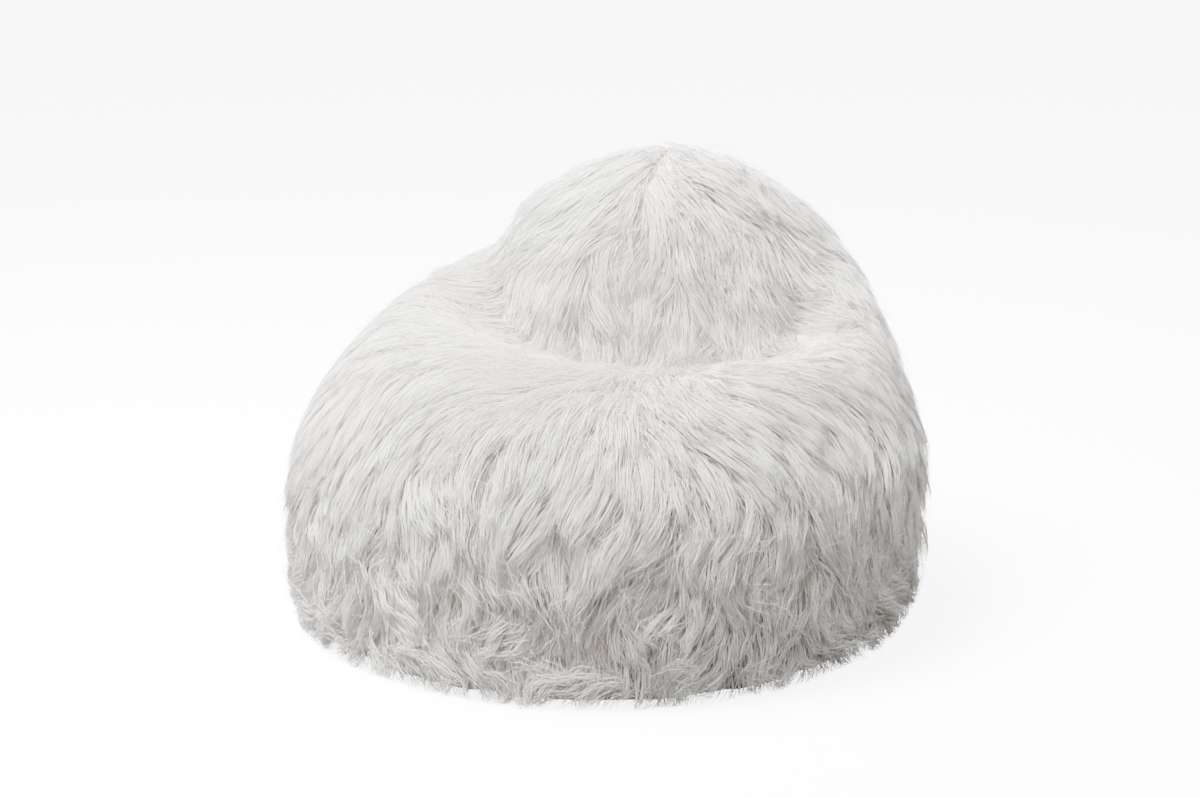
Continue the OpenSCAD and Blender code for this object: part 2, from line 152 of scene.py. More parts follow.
class BeanBagStudioSettings(bpy.types.PropertyGroup):
    azimuth: bpy.props.FloatProperty(
        name="Camera azimuth", description="Angle of the camera round the chair, to its right",
        default=math.radians(18), subtype="ANGLE", unit="ROTATION")
    elevation: bpy.props.FloatProperty(
        name="Camera elevation", description="Angle of the camera above level", default=math.radians(15),
        subtype="ANGLE", unit="ROTATION")
    distance: bpy.props.FloatProperty(
        name="Camera distance", description="From the camera to the point it looks at", default=3.3,
        subtype="DISTANCE", unit="LENGTH")
    lens: bpy.props.FloatProperty(
        name="Lens", description="Focal length", default=67.5, subtype="DISTANCE_CAMERA", unit="CAMERA")
    floor_colour: bpy.props.FloatVectorProperty(
        name="Floor colour", description="Colour of the studio's floor and background", subtype="COLOR",
        default=(0.9, 0.9, 0.9), min=0, max=1)


SETTINGS = {
    "bean_bag_wool": BeanBagWoolSettings,
    "bean_bag_leather": BeanBagLeatherSettings,
    "bean_bag_cloth": BeanBagClothSettings,
    "bean_bag_studio": BeanBagStudioSettings,
}


# ---------------------------------------------------------------- the wool's growing surface

def unit(v):
    return v / np.maximum(np.linalg.norm(v, axis=-1, keepdims=True), 1e-12)


def shifted(grid, step):
    """The grid turned by whole columns about the bag's axis."""
    return np.roll(grid, step, axis=1)


def softened(grid, times):
    """The grid with each value eased towards its neighbours."""
    for _ in range(times):
        up = np.vstack([grid[:1], grid[:-1]])
        down = np.vstack([grid[1:], grid[-1:]])
        grid = 0.5 * grid + 0.125 * (up + down + shifted(grid, 1) + shifted(grid, -1))
    return grid


class WoolSurface:
    """The outside of the pelts as one smooth shape, found by looking in at a core point from all round."""
    columns = 288
    rows = 120
    first_share = 0.004
    far = 1.5

    def __init__(self):
        crown_low, crown_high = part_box("pelt_crown")
        crown = (crown_low + crown_high) / 2
        self.height = crown_high.z
        self.core = np.array([crown.x * 0.5, crown.y * 0.45, self.height * 0.3])
        points, faces = [], []
        for name in PELTS:
            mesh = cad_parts[name].data
            co = np.empty(len(mesh.vertices) * 3, np.float32)
            mesh.vertices.foreach_get("co", co)
            start = len(points)
            points.extend(co.reshape(-1, 3).tolist())
            faces.extend([[start + i for i in p.vertices] for p in mesh.polygons])
        all_points = np.array(points)
        on_floor = all_points[all_points[:, 2] < 1e-4]
        self.foot_radius = float(np.linalg.norm(on_floor[:, :2], axis=1).max())
        tree = BVHTree.FromPolygons(points, faces)
        turn = np.arange(self.columns) / self.columns * 2 * math.pi
        self.foot_angle = self.angle_of_foot(turn)
        share = np.linspace(self.first_share, 1, self.rows)[:, None]
        rise = self.foot_angle[None] * (1 - share) + math.pi / 2 * share
        level = np.cos(rise)
        out = np.stack([np.cos(turn)[None] * level, np.sin(turn)[None] * level, np.sin(rise)], -1)
        radius = np.empty((self.rows, self.columns))
        core = Vector(self.core)
        for j in range(self.rows):
            for i in range(self.columns):
                ray = Vector(out[j, i])
                hit = tree.ray_cast(core + ray * self.far, -ray)[0]
                radius[j, i] = (hit - core).length if hit else np.nan
        gaps = np.isnan(radius)
        radius[gaps] = np.nanmean(radius)
        self.radius = softened(radius, 6)
        self.radius[-1] = self.radius[-1].mean()
        place = self.core + out * self.radius[..., None]
        around = shifted(place, -1) - shifted(place, 1)
        up = np.empty_like(place)
        up[1:-1] = place[2:] - place[:-2]
        up[0], up[-1] = place[1] - place[0], up[-2]
        normal = unit(np.cross(around, up))
        normal[-1] = unit(normal[-2].mean(0))
        self.place, self.normal = place, normal

    def angle_of_foot(self, turn):
        """Angle below level at which the wool's foot is seen from the core."""
        along = self.core[0] * np.cos(turn) + self.core[1] * np.sin(turn)
        off = self.foot_radius ** 2 - (self.core[:2] ** 2).sum()
        reach = -along + np.sqrt(along ** 2 + off)
        return np.arctan2(-self.core[2], reach)

    def cell(self, ray):
        """Row and column, whole and part, that a direction from the core falls on."""
        turn = np.arctan2(ray[:, 1], ray[:, 0])
        rise = np.arcsin(np.clip(ray[:, 2], -1, 1))
        foot = self.angle_of_foot(turn)
        share = (rise - foot) / (math.pi / 2 - foot)
        row = np.clip((share - self.first_share) / (1 - self.first_share), 0, 1) * (self.rows - 1)
        column = (turn / (2 * math.pi) % 1) * self.columns
        j = np.minimum(row.astype(int), self.rows - 2)
        i = column.astype(int) % self.columns
        return j, i, (row - j), (column - column.astype(int))

    def sampled(self, grid, cell):
        j, i, v, u = cell
        k = (i + 1) % self.columns
        if grid.ndim == 3:
            v, u = v[:, None], u[:, None]
        low = grid[j, i] * (1 - u) + grid[j, k] * u
        high = grid[j + 1, i] * (1 - u) + grid[j + 1, k] * u
        return low * (1 - v) + high * v

    def land(self, points):
        """The nearest surface points seen from the core, and the surface's normals there."""
        ray = unit(points - self.core)
        cell = self.cell(ray)
        radius = self.sampled(self.radius, cell)[:, None]
        return self.core + ray * radius, unit(self.sampled(self.normal, cell))

    def scattered(self, count, rng):
        """Random points spread evenly over the surface by area."""
        p, q = self.place, shifted(self.place, -1)
        area = np.linalg.norm(np.cross(q[:-1] - p[:-1], p[1:] - p[:-1]), axis=-1)
        area += np.linalg.norm(np.cross(q[1:] - q[:-1], q[1:] - p[1:]), axis=-1)
        total = np.cumsum(area.ravel())
        # evenly stepped draws keep the wool from bunching
        draw = (np.arange(count) + rng.random(count)) / count * total[-1]
        index = np.minimum(np.searchsorted(total, draw), len(total) - 1)
        j, i = index // self.columns, index % self.columns
        u, v = rng.random(count), rng.random(count)
        return self.sampled(p, (j, i, v, u))


def pelt_of(spots):
    """Index in PELTS of the pelt under each spot."""
    low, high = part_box("pelt_crown")
    crown = np.array([(low.x + high.x) / 2, (low.y + high.y) / 2])
    reach = min(high.x - low.x, high.y - low.y) / 2
    flat = spots[:, :2] - crown * np.clip(spots[:, 2:] / high.z, 0, 1)
    turn = np.arctan2(flat[:, 1], flat[:, 0])
    gap = np.abs((turn[:, None] - middle_directions(SIDE_PELTS)[None] + math.pi) % (2 * math.pi) - math.pi)
    index = gap.argmin(1)
    on_crown = (np.linalg.norm(spots[:, :2] - crown, axis=1) < reach * 0.95) & (spots[:, 2] > low.z)
    return np.where(on_crown, len(SIDE_PELTS), index)


class SoftNoise:
    """Smooth seeded noise in space: a sum of plane waves in random directions."""

    def __init__(self, rng, size, waves=14):
        direction = unit(rng.normal(size=(waves, 3)))
        self.wave = direction / size * 2 * math.pi * rng.uniform(0.6, 1.5, (waves, 1))
        self.phase = rng.uniform(0, 2 * math.pi, waves)
        self.scale = math.sqrt(2 / waves)

    def __call__(self, points):
        return np.sin(points @ self.wave.T + self.phase).sum(1) * self.scale


def low_band(points):
    """How far a spot is into the tousled band low on the sides, from 0 to 1."""
    return np.clip((wool.surface.height * 0.41 - points[:, 2]) / (wool.surface.height * 0.17), 0, 1)


class Combing:
    """Which way the wool lies: down the bag, away from the seat's crease, and out from a brushed place."""
    downward = np.array([-0.1, -0.2, -0.8])
    over_the_top = np.array([-0.25, -0.3, 0])
    brush_reach, brush_strength, brush_core = 0.26, 1.3, 0.05
    crease_reach, crease_strength = 0.07, 1.6
    corner_reach = 0.036
    seat_strength, outward_strength = 1.5, 0.15

    def __init__(self, surface, rng):
        height, low, high = surface.height, CAD_BOX[0], CAD_BOX[1]
        wide, deep = high.x - low.x, high.y - low.y
        crown_low, crown_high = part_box("pelt_crown")
        self.axis = np.array([(crown_low.x + crown_high.x) / 2, (crown_low.y + crown_high.y) / 2 * 0.6, 0])
        self.height = height
        # the place in front of the crease that the wool is brushed out from
        self.brushed = np.array([0.2 * wide, -0.16 * deep, 0.58 * height])
        # where the crease comes furthest forward, and how far it has moved back a given way to either side
        self.crease_front = np.array([-0.01 * wide, -0.036 * deep])
        self.crease_half, self.crease_left, self.crease_right = 0.21 * wide, 0.104 * deep, 0.058 * deep
        self.corner = np.array([-0.092 * wide, -0.05 * deep, 0.59 * height])
        self.swirl = SoftNoise(rng, 0.42)
        self.stray = SoftNoise(rng, 0.14)
        self.tousle = SoftNoise(rng, 0.06)

    def past_crease(self, points):
        """How far a point lies behind the seat's crease: below zero on the seat."""
        across = (points[:, 0] - self.crease_front[0]) / self.crease_half
        return points[:, 1] - self.crease_front[1] - self.crease_bend(across) * across ** 2

    def crease_bend(self, across):
        return np.where(across < 0, self.crease_left, self.crease_right)

    def by_crease(self, points, reach):
        """From 1 in the crease to 0 away from it."""
        level = points[:, 2] / self.height
        inside = np.clip((level - 0.5) / 0.06, 0, 1) * np.clip((0.86 - level) / 0.08, 0, 1)
        return np.exp(-(self.past_crease(points) / reach) ** 2) * inside

    def in_corner(self, points):
        """From 1 in the deep left corner of the crease to 0 away from it."""
        return np.exp(-((points - self.corner) ** 2).sum(1) / self.corner_reach ** 2)

    def along(self, points, normals, wild):
        """Unit headings of the wool at points of the surface; wild says how far each may stray."""
        flow = np.tile(self.downward, (len(points), 1))
        flow += np.clip(points[:, 2] / self.height * 5 - 3.6, 0, 1)[:, None] * self.over_the_top
        back = np.clip(self.past_crease(points) / 0.03 + 0.5, 0, 1)[:, None]
        away = points - self.brushed
        away[:, 2] *= 0.5
        far = np.linalg.norm(away, axis=1, keepdims=True)
        near = np.exp(-(far / self.brush_reach) ** 2) * (1 - np.exp(-(far / self.brush_core) ** 2))
        flow += unit(away) * self.brush_strength * near * (1 - back)
        outward = unit((points - self.axis) * np.array([1, 1, 0]))
        seat = np.clip((normals * outward).sum(1) * -2.5 + 0.9, 0, 1) * (points[:, 2] < 0.76 * self.height)
        flow += outward * (self.outward_strength + self.seat_strength * seat * (1 - back[:, 0]))[:, None]
        across = (points[:, 0] - self.crease_front[0]) / self.crease_half
        slope = 2 * self.crease_bend(across) * across / self.crease_half
        from_crease = unit(np.stack([slope, -np.ones(len(points)), np.zeros(len(points))], -1))
        by_crease = self.crease_strength * self.by_crease(points, self.crease_reach)
        flow += from_crease * by_crease[:, None] * (1 - back)
        flow -= (flow * normals).sum(1, keepdims=True) * normals
        flow = unit(flow)
        side = np.cross(normals, flow)
        low = low_band(points)
        loose = np.clip(points[:, 2] / self.height * 4 - 2.4, 0, 1)
        turn = (0.34 + 0.22 * loose) * self.swirl(points)
        turn += (0.2 + 0.1 * low + 0.16 * loose) * self.stray(points) * wild
        turn += (0.08 + 0.2 * low) * self.tousle(points) * wild
        return flow * np.cos(turn)[:, None] + side * np.sin(turn)[:, None]


# ---------------------------------------------------------------- wisps

def wisp_mesh(name, line, width, tint, material):
    """Closed three-sided tapering wisps along lines of shape (wisps, points, 3) that end in the tips."""
    count, steps = line.shape[:2]
    rings = steps - 1
    ahead = np.empty_like(line)
    ahead[:, 1:-1] = line[:, 2:] - line[:, :-2]
    ahead[:, 0], ahead[:, -1] = line[:, 1] - line[:, 0], line[:, -1] - line[:, -2]
    ahead = unit(ahead)
    outward = unit(line - wool.surface.core)
    across = unit(np.cross(ahead, outward))
    above = np.cross(across, ahead)
    share = np.linspace(0, 1, steps)
    taper = np.sqrt(np.clip(1 - share[:-1] ** 2.2, 0, 1)) * (0.75 + 0.25 * np.sin(share[:-1] * math.pi))
    radius = width[:, None] / 2 * taper[None]
    corners = []
    for k in range(3):
        angle = 2 * math.pi * k / 3 + math.pi / 2
        corner = across[:, :rings] * math.cos(angle) + above[:, :rings] * math.sin(angle) * 0.8
        corners.append(line[:, :rings] + corner * radius[..., None])
    ring = np.stack(corners, 2).reshape(count, rings * 3, 3)
    points = np.concatenate([ring, line[:, -1:]], 1)
    each = rings * 3 + 1
    triangles = [[2, 1, 0]]
    for r in range(rings - 1):
        for k in range(3):
            a, b = r * 3 + k, r * 3 + (k + 1) % 3
            triangles += [[a, b, b + 3], [a, b + 3, a + 3]]
    for k in range(3):
        triangles.append([(rings - 1) * 3 + k, (rings - 1) * 3 + (k + 1) % 3, each - 1])
    triangles = np.array(triangles)
    faces = (triangles[None] + (np.arange(count) * each)[:, None, None]).reshape(-1, 3)
    mesh = bpy.data.meshes.new(name)
    mesh.vertices.add(count * each)
    mesh.vertices.foreach_set("co", points.astype(np.float32).ravel())
    mesh.loops.add(len(faces) * 3)
    mesh.loops.foreach_set("vertex_index", faces.astype(np.int32).ravel())
    mesh.polygons.add(len(faces))
    mesh.polygons.foreach_set("loop_start", np.arange(0, len(faces) * 3, 3, dtype=np.int32))
    mesh.polygons.foreach_set("use_smooth", np.ones(len(faces), bool))
    point_share = np.concatenate([np.repeat(share[:-1], 3), [1.0]])
    grown = mesh.attributes.new("grown", "FLOAT", "POINT")
    grown.data.foreach_set("value", np.tile(point_share, count).astype(np.float32))
    tinted = mesh.attributes.new("tint", "FLOAT", "POINT")
    tinted.data.foreach_set("value", np.repeat(tint, each).astype(np.float32))
    # each wisp has its own small cell in the map
    across_cells = math.ceil(math.sqrt(count))
    cell = 1 / across_cells
    side = np.concatenate([np.tile([0.06, 0.5, 0.94], rings), [0.5]])
    corner_u = (np.arange(count) % across_cells)[:, None] + side[None]
    corner_v = (np.arange(count) // across_cells)[:, None] + 0.04 + 0.92 * point_share[None]
    at = np.stack([corner_u * cell, corner_v * cell], -1).reshape(-1, 2)
    layer = mesh.uv_layers.new(name="OFBake")
    layer.data.foreach_set("uv", at[faces.ravel()].astype(np.float32).ravel())
    mesh.update()
    mesh.validate()
    piece = bpy.data.objects.new(name, mesh)
    bpy.context.scene.collection.objects.link(piece)
    mesh.materials.append(material)
    return piece


def combed_lines(roots, steps, length, rng, wild):
    """Lines on the surface from each root along the combing: surface points, normals and headings."""
    surface, combing = wool.surface, wool.combing
    place, normal = surface.land(roots)
    places, normals, headings = [place], [normal], []
    heading = combing.along(place, normal, wild)
    own_turn = rng.normal(0, 0.17, len(roots)) * wild
    for _ in range(steps - 1):
        fresh = combing.along(place, normal, wild)
        heading = unit(0.55 * heading + 0.45 * fresh)
        heading -= (heading * normal).sum(1, keepdims=True) * normal
        heading = unit(heading)
        side = np.cross(normal, heading)
        go = heading * np.cos(own_turn)[:, None] + side * np.sin(own_turn)[:, None]
        place, normal = surface.land(place + go * (length / (steps - 1))[:, None])
        places.append(place)
        normals.append(normal)
        headings.append(go)
    headings.append(headings[-1])
    return np.stack(places, 1), np.stack(normals, 1), np.stack(headings, 1)


class Wool:
    """The one surface and combing that all the wool shares."""
    surface = None
    combing = None

    def ready(self):
        if self.surface is None:
            self.surface = WoolSurface()
            self.combing = Combing(self.surface, np.random.default_rng(NOISE_SEED))


wool = Wool()


def drawn_to_tufts(roots, place, length, pull):
    """Draws each lock towards its tuft. Gives the new lines and how near each is to the tuft's middle."""
    rng = np.random.default_rng(TUFT_SEED)
    steps = place.shape[1]
    middles = wool.surface.scattered(TUFTS, rng)
    middles = middles[middles[:, 2] > 0.02]
    gap = ((roots[:, None] - middles[None]) ** 2).sum(-1)
    mine = gap.argmin(1)
    near = np.sqrt(gap.min(1))
    reach = float(np.median(length))
    tuft_length = np.minimum(reach, to_the_floor(middles, 0.012))
    tuft_place = combed_lines(middles, steps, tuft_length, rng, np.full(len(middles), 1.3))[0]
    share = np.linspace(0, 1, steps)[None, :, None]
    away = (roots - middles[mine])[:, None]
    drawn = tuft_place[mine] + away * (1 - 0.75 * share ** 1.2)
    blend = pull[:, None, None] * share
    return place * (1 - blend) + drawn * blend, np.clip(1 - near / TUFT_REACH, 0, 1)


def to_the_floor(roots, spare):
    """The greatest length of a wisp that hangs from each root, so that it ends on the floor."""
    return roots[:, 2] * 1.05 + spare


def between(values, k, part):
    """Values part of the way from entry k to the next along the third axis."""
    return np.take_along_axis(values, k, 2) * (1 - part) + np.take_along_axis(values, k + 1, 2) * part


def raised(line, height):
    """Lines moved to the given heights above the surface."""
    ground, up = wool.surface.land(line.reshape(-1, 3))
    return (ground + up * height.reshape(-1, 1)).reshape(line.shape)


def ending_at_crease(roots, length, spare):
    """Lengths cut so that wool hanging down the backrest ends soon after it meets the seat's crease."""
    behind = wool.combing.past_crease(roots)
    level = roots[:, 2] / wool.surface.height
    drop = np.maximum(roots[:, 2] - 0.575 * wool.surface.height, 0)
    limit = np.hypot(np.maximum(behind, 0), drop) + spare
    facing = (behind > 0) & (behind < 0.16) & (level > 0.55) & (level < 0.93)
    return np.where(facing, np.minimum(length, limit), length)


def grow_locks(settings, curly):
    """The long wisps as lines, with width, tint and pelt for each: straight ones or low curly ones."""
    rng = np.random.default_rng(LOCK_SEED)
    surface = wool.surface
    hairs = settings.hairs_per_lock
    roots = surface.scattered(settings.lock_count, rng)
    tuft, patch, fringe = SoftNoise(rng, 0.09), SoftNoise(rng, 0.3), SoftNoise(rng, 0.12)
    low = low_band(roots)
    own = (low > 0.45) if curly else (low <= 0.45)
    own &= (roots[:, 2] > 0.03) & (wool.combing.by_crease(roots, 0.013) < 0.5)
    roots, low = roots[own], low[own]
    count = len(roots)
    steps = 6 if curly else 5
    rng = np.random.default_rng(CURLY_SEED if curly else STRAIGHT_SEED)
    length = settings.lock_length * (0.84 + 0.2 * rng.random(count) + 0.08 * tuft(roots)) * (1 - 0.3 * low)
    length = np.minimum(length, to_the_floor(roots, 0.012))
    length = ending_at_crease(roots, length, 0.004 + 0.026 * rng.random(count))
    place, normal, heading = combed_lines(roots, steps, length, rng, 0.6 + 0.6 * low)
    steep = np.clip(1.25 - normal[:, 0, 2] * 1.3, 0.2, 1)
    place, middle = drawn_to_tufts(roots, place, length, 0.85 * steep)
    share = np.linspace(0, 1, steps)
    side = np.cross(normal, heading)
    phase = rng.uniform(0, 2 * math.pi, count)
    waves = rng.uniform(0.45, 0.8, count) + 0.6 * low
    swing = settings.curl * (0.5 + 0.8 * rng.random(count)) * (0.8 + 1.1 * low)
    angle = phase[:, None] + 2 * math.pi * waves[:, None] * share[None]
    sway = swing[:, None] * share[None] ** 0.8 * (np.sin(angle) - np.sin(phase)[:, None])
    hollow = wool.combing.by_crease(roots, 0.026)
    corner = wool.combing.in_corner(roots)
    # painted shade: the wool in the crease is painted a little darker, and most of all in its corner; the
    # darker tint also warms it towards the pinkish root colour
    painted_crease_shade = 0.24 * wool.combing.by_crease(roots, 0.075) + 0.9 * corner
    # long points hang over the low band
    overhang = np.exp(-((roots[:, 2] / surface.height - 0.47) / 0.09) ** 2)
    under_it = np.exp(-((roots[:, 2] / surface.height - 0.25) / 0.08) ** 2)
    lofty = rng.normal(0, 1, count) * (0.1 + 0.3 * low) + (0.24 + 0.34 * low) * tuft(roots + 0.3)
    top = 0.0005 + 0.005 * lofty + 0.008 * overhang - 0.008 * under_it
    top += (middle - 0.45) * (0.0058 + 0.004 * low) * steep
    top -= 0.009 * hollow + 0.012 * corner
    fringe = np.clip(1 - roots[:, 2] / 0.13, 0, 1)
    top = np.clip(top, -0.013, 0.016) + 0.019 * fringe * rng.uniform(0.4, 1, count)
    rising = 1 - (1 - share[None]) ** 2.4
    height = -LOCK_ROOT + (top[:, None] + LOCK_ROOT) * rising
    height += (0.0012 + 0.002 * low[:, None]) * np.cos(angle) * share[None]
    spine = place + side * sway[..., None]
    spread = (0.0125 - 0.003 * low[:, None]) * np.sqrt(rng.random((count, hairs)))
    around = rng.uniform(0, 2 * math.pi, (count, hairs))
    shift_a, shift_b = spread * np.cos(around), spread * np.sin(around)
    pointed = 0.2 + 0.4 * np.maximum(overhang, low)[:, None] + 0.25 * rng.random((count, hairs))
    gather = 1 - np.minimum(pointed, 0.92)[..., None] * share ** 1.3
    wander = rng.normal(0, 1, (count, hairs, 1, 2)) * 0.003 * share[None, None, :, None] ** 1.5
    ahead = (shift_a[..., None] * gather + wander[..., 0])[..., None]
    aside = (shift_b[..., None] * gather + wander[..., 1])[..., None]
    line = spine[:, None] + heading[:, None] * ahead + side[:, None] * aside
    # a shorter wisp stops part way along its lock
    shorter = 1 - 0.32 * rng.random((count, hairs)) ** 1.5
    at = share[None, None] * shorter[..., None] * (steps - 1)
    k = np.minimum(at.astype(int), steps - 2)
    f = (at - k)[..., None]
    line = between(line, k[..., None], f)
    tall = between(np.broadcast_to(height[:, None], k.shape), k, f[..., 0])
    tall = tall + rng.normal(0, 0.0015, (count, hairs, 1)) * share[None, None] ** 0.7
    line = raised(line.reshape(count * hairs, steps, 3), tall)
    width = settings.wisp_width * rng.uniform(0.55, 1.0, count * hairs)
    tint = np.repeat(0.64 + 0.085 * rng.normal(0, 1, count) + 0.11 * patch(roots), hairs)
    # painted shade: locks in the low band, in the crease and in its corner are darkened through their tint
    shade = np.repeat(0.16 * low + 0.35 * hollow + painted_crease_shade, hairs)
    tint = np.clip(tint + rng.normal(0, 0.09, count * hairs) - shade, 0, 1)
    return lay_on_floor(line), width, tint, np.repeat(pelt_of(roots), hairs)


def grow_undercoat(settings):
    """The short dense wisps that fill in under the locks."""
    rng = np.random.default_rng(UNDERCOAT_SEED)
    surface = wool.surface
    steps = 3
    roots = surface.scattered(settings.under_count, rng)
    roots = roots[roots[:, 2] > 0.02]
    count = len(roots)
    tuft = SoftNoise(rng, 0.04)
    length = settings.lock_length * (0.4 + 0.2 * rng.random(count))
    length = np.minimum(length, to_the_floor(roots, 0.006))
    length = ending_at_crease(roots, length, np.full(count, 0.01))
    place, normal, heading = combed_lines(roots, steps, length, rng, np.full(count, 1.1))
    hollow = wool.combing.by_crease(roots, 0.024) + wool.combing.in_corner(roots)
    share = np.linspace(0, 1, steps)
    side = np.cross(normal, heading)
    phase = rng.uniform(0, 2 * math.pi, count)
    sway = 0.0035 * share[None] * np.sin(phase[:, None] + share[None] * 4)
    low = low_band(roots)
    top = -0.0035 - 0.003 * low + 0.0025 * rng.normal(0, 1, count) + 0.0015 * tuft(roots)
    fringe = np.clip(1 - roots[:, 2] / 0.1, 0, 1)
    top = np.clip(top - 0.008 * hollow, -0.018, 0.003) + 0.018 * fringe
    rising = 1 - (1 - share[None]) ** 1.9
    height = -UNDERCOAT_ROOT + (top[:, None] + UNDERCOAT_ROOT) * rising
    line = raised(place + side * sway[..., None], height)
    width = settings.wisp_width * rng.uniform(0.9, 1.5, count)
    # painted shade: the undercoat is painted darker in the low band, and much darker in the crease and its
    # corner
    tint = np.clip(0.45 + 0.15 * rng.normal(0, 1, count) - 0.1 * low - 0.45 * hollow, 0, 1)
    return lay_on_floor(line), width, tint, pelt_of(roots)


def lay_on_floor(line):
    """Wisps that would go into the floor are turned out along it."""
    drop = np.maximum(WISP_CLEARANCE - line[..., 2], 0)
    outward = unit(line * np.array([1, 1, 0]))
    line = line + outward * (drop * 0.35)[..., None]
    line[..., 2] = np.maximum(line[..., 2], WISP_CLEARANCE)
    return line


def make_wisps(stem, grown, material):
    lines, width, tint, pelt = grown
    for index, name in enumerate(PELTS):
        mine = pelt == index
        if not mine.any():
            continue
        piece = wisp_mesh(name.replace("pelt", stem), lines[mine], width[mine], tint[mine], material)
        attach(piece, "bag")


# ---------------------------------------------------------------- materials

WHITE = (1, 1, 1, 1)


def new_material(name):
    material = bpy.data.materials.new(name)
    material.use_nodes = True
    tree = material.node_tree
    return material, tree, tree.nodes["Principled BSDF"]


def add_node(tree, kind, **values):
    node = tree.nodes.new(kind)
    for key, value in values.items():
        if hasattr(node, key):
            setattr(node, key, value)
        else:
            node.inputs[key.replace("_", " ")].default_value = value
    return node


def pattern_group(name, size_name, size, across, pattern):
    """A node group whose Mask is a pattern on Object coordinates, at a scale of across / size."""
    found = bpy.data.node_groups.get(name)
    if found:
        return found
    tree = bpy.data.node_groups.new(name, "ShaderNodeTree")
    socket = tree.interface.new_socket(size_name, in_out="INPUT", socket_type="NodeSocketFloat")
    socket.default_value = size
    tree.interface.new_socket("Mask", in_out="OUTPUT", socket_type="NodeSocketFloat")
    into, out = tree.nodes.new("NodeGroupInput"), tree.nodes.new("NodeGroupOutput")
    coordinates = tree.nodes.new("ShaderNodeTexCoord")
    per = add_node(tree, "ShaderNodeMath", operation="DIVIDE")
    per.inputs[0].default_value = across
    tree.links.new(into.outputs[size_name], per.inputs[1])
    mask = pattern(tree, coordinates.outputs["Object"], per.outputs[0])
    tree.links.new(mask, out.inputs["Mask"])
    return tree


def cloudy_pattern(tree, coordinates, scale):
    cloud = add_node(tree, "ShaderNodeTexNoise", Detail=4, Roughness=0.6)
    tree.links.new(scale, cloud.inputs["Scale"])
    tree.links.new(coordinates, cloud.inputs["Vector"])
    return cloud.outputs["Fac"]


def object_noise_group():
    """Uneven, cloudy mask over a piece at a given size in metres."""
    return pattern_group("Cloudy", "Size", 0.1, 1, cloudy_pattern)


def place_group(tree, group, **values):
    node = tree.nodes.new("ShaderNodeGroup")
    node.node_tree = group
    for key, value in values.items():
        node.inputs[key.replace("_", " ")].default_value = value
    return node


def colour_ramp(tree, source, first, last, *between):
    """Colours that follow a value. Each stop is its place from 0 to 1 and its colour."""
    ramp = tree.nodes.new("ShaderNodeValToRGB")
    stops = ramp.color_ramp.elements
    for stop, (place, colour) in zip(stops, (first, last)):
        stop.position, stop.color = place, colour
    for place, colour in between:
        stops.new(place).color = colour
    tree.links.new(source, ramp.inputs["Fac"])
    return ramp.outputs["Color"]


def mixed(tree, amount, first, second, kind="MIX"):
    """The mix of two colours. The amount and the colours are values or sockets."""
    node = tree.nodes.new("ShaderNodeMix")
    node.data_type = "RGBA"
    node.blend_type = kind
    for socket, value in zip((node.inputs[0], node.inputs[6], node.inputs[7]), (amount, first, second)):
        if isinstance(value, bpy.types.NodeSocket):
            tree.links.new(value, socket)
        else:
            socket.default_value = value
    return node.outputs[2]


def rgba(colour, times=1.0):
    return (*(min(1.0, c * times) for c in colour), 1.0)


def wool_material(name, settings, shade=1.0):
    """White wool: pinkish beige at the root, clean and pale from a third of the way out. The tint attribute
    darkens it, partly as random tone and partly as painted shade; shade gives a darker copy, as painted
    shade.
    """
    material, tree, shader = new_material(name)
    grown = add_node(tree, "ShaderNodeAttribute", attribute_name="grown")
    tint = add_node(tree, "ShaderNodeAttribute", attribute_name="tint")
    tip, root = settings.tip_colour, settings.root_colour
    middle = [0.35 * r + 0.65 * t for r, t in zip(root, tip)]
    along = colour_ramp(
        tree, grown.outputs["Fac"], (0.0, rgba(root, shade)), (1.0, rgba(tip, shade)),
        (0.3, rgba(middle, shade)), (0.62, rgba([t * 0.985 for t in tip], shade)))
    tinted = colour_ramp(
        tree, tint.outputs["Fac"], (0.0, (0.8, 0.7, 0.65, 1)), (0.72, WHITE), (0.36, (0.925, 0.9, 0.885, 1)))
    cloudy = place_group(tree, object_noise_group(), Size=0.16)
    patches = colour_ramp(tree, cloudy.outputs["Mask"], (0.35, (0.955, 0.935, 0.915, 1)), (0.6, WHITE))
    paint = mixed(tree, 1, mixed(tree, 1, along, tinted, "MULTIPLY"), patches, "MULTIPLY")
    tree.links.new(paint, shader.inputs["Base Color"])
    shader.inputs["Roughness"].default_value = 0.6
    shader.inputs["Specular IOR Level"].default_value = 0.35
    shader.inputs["Sheen Weight"].default_value = 0.25
    shader.inputs["Sheen Roughness"].default_value = 0.4
    return material


# ---------------------------------------------------------------- the pelts

def smooth_piece(name, points, faces):
    """A smooth piece in the scene, made from its points and faces."""
    mesh = bpy.data.meshes.new(name)
    mesh.from_pydata(points, [], faces)
    mesh.polygons.foreach_set("use_smooth", np.ones(len(faces), bool))
    mesh.update()
    piece = bpy.data.objects.new(name, mesh)
    bpy.context.scene.collection.objects.link(piece)
    return piece


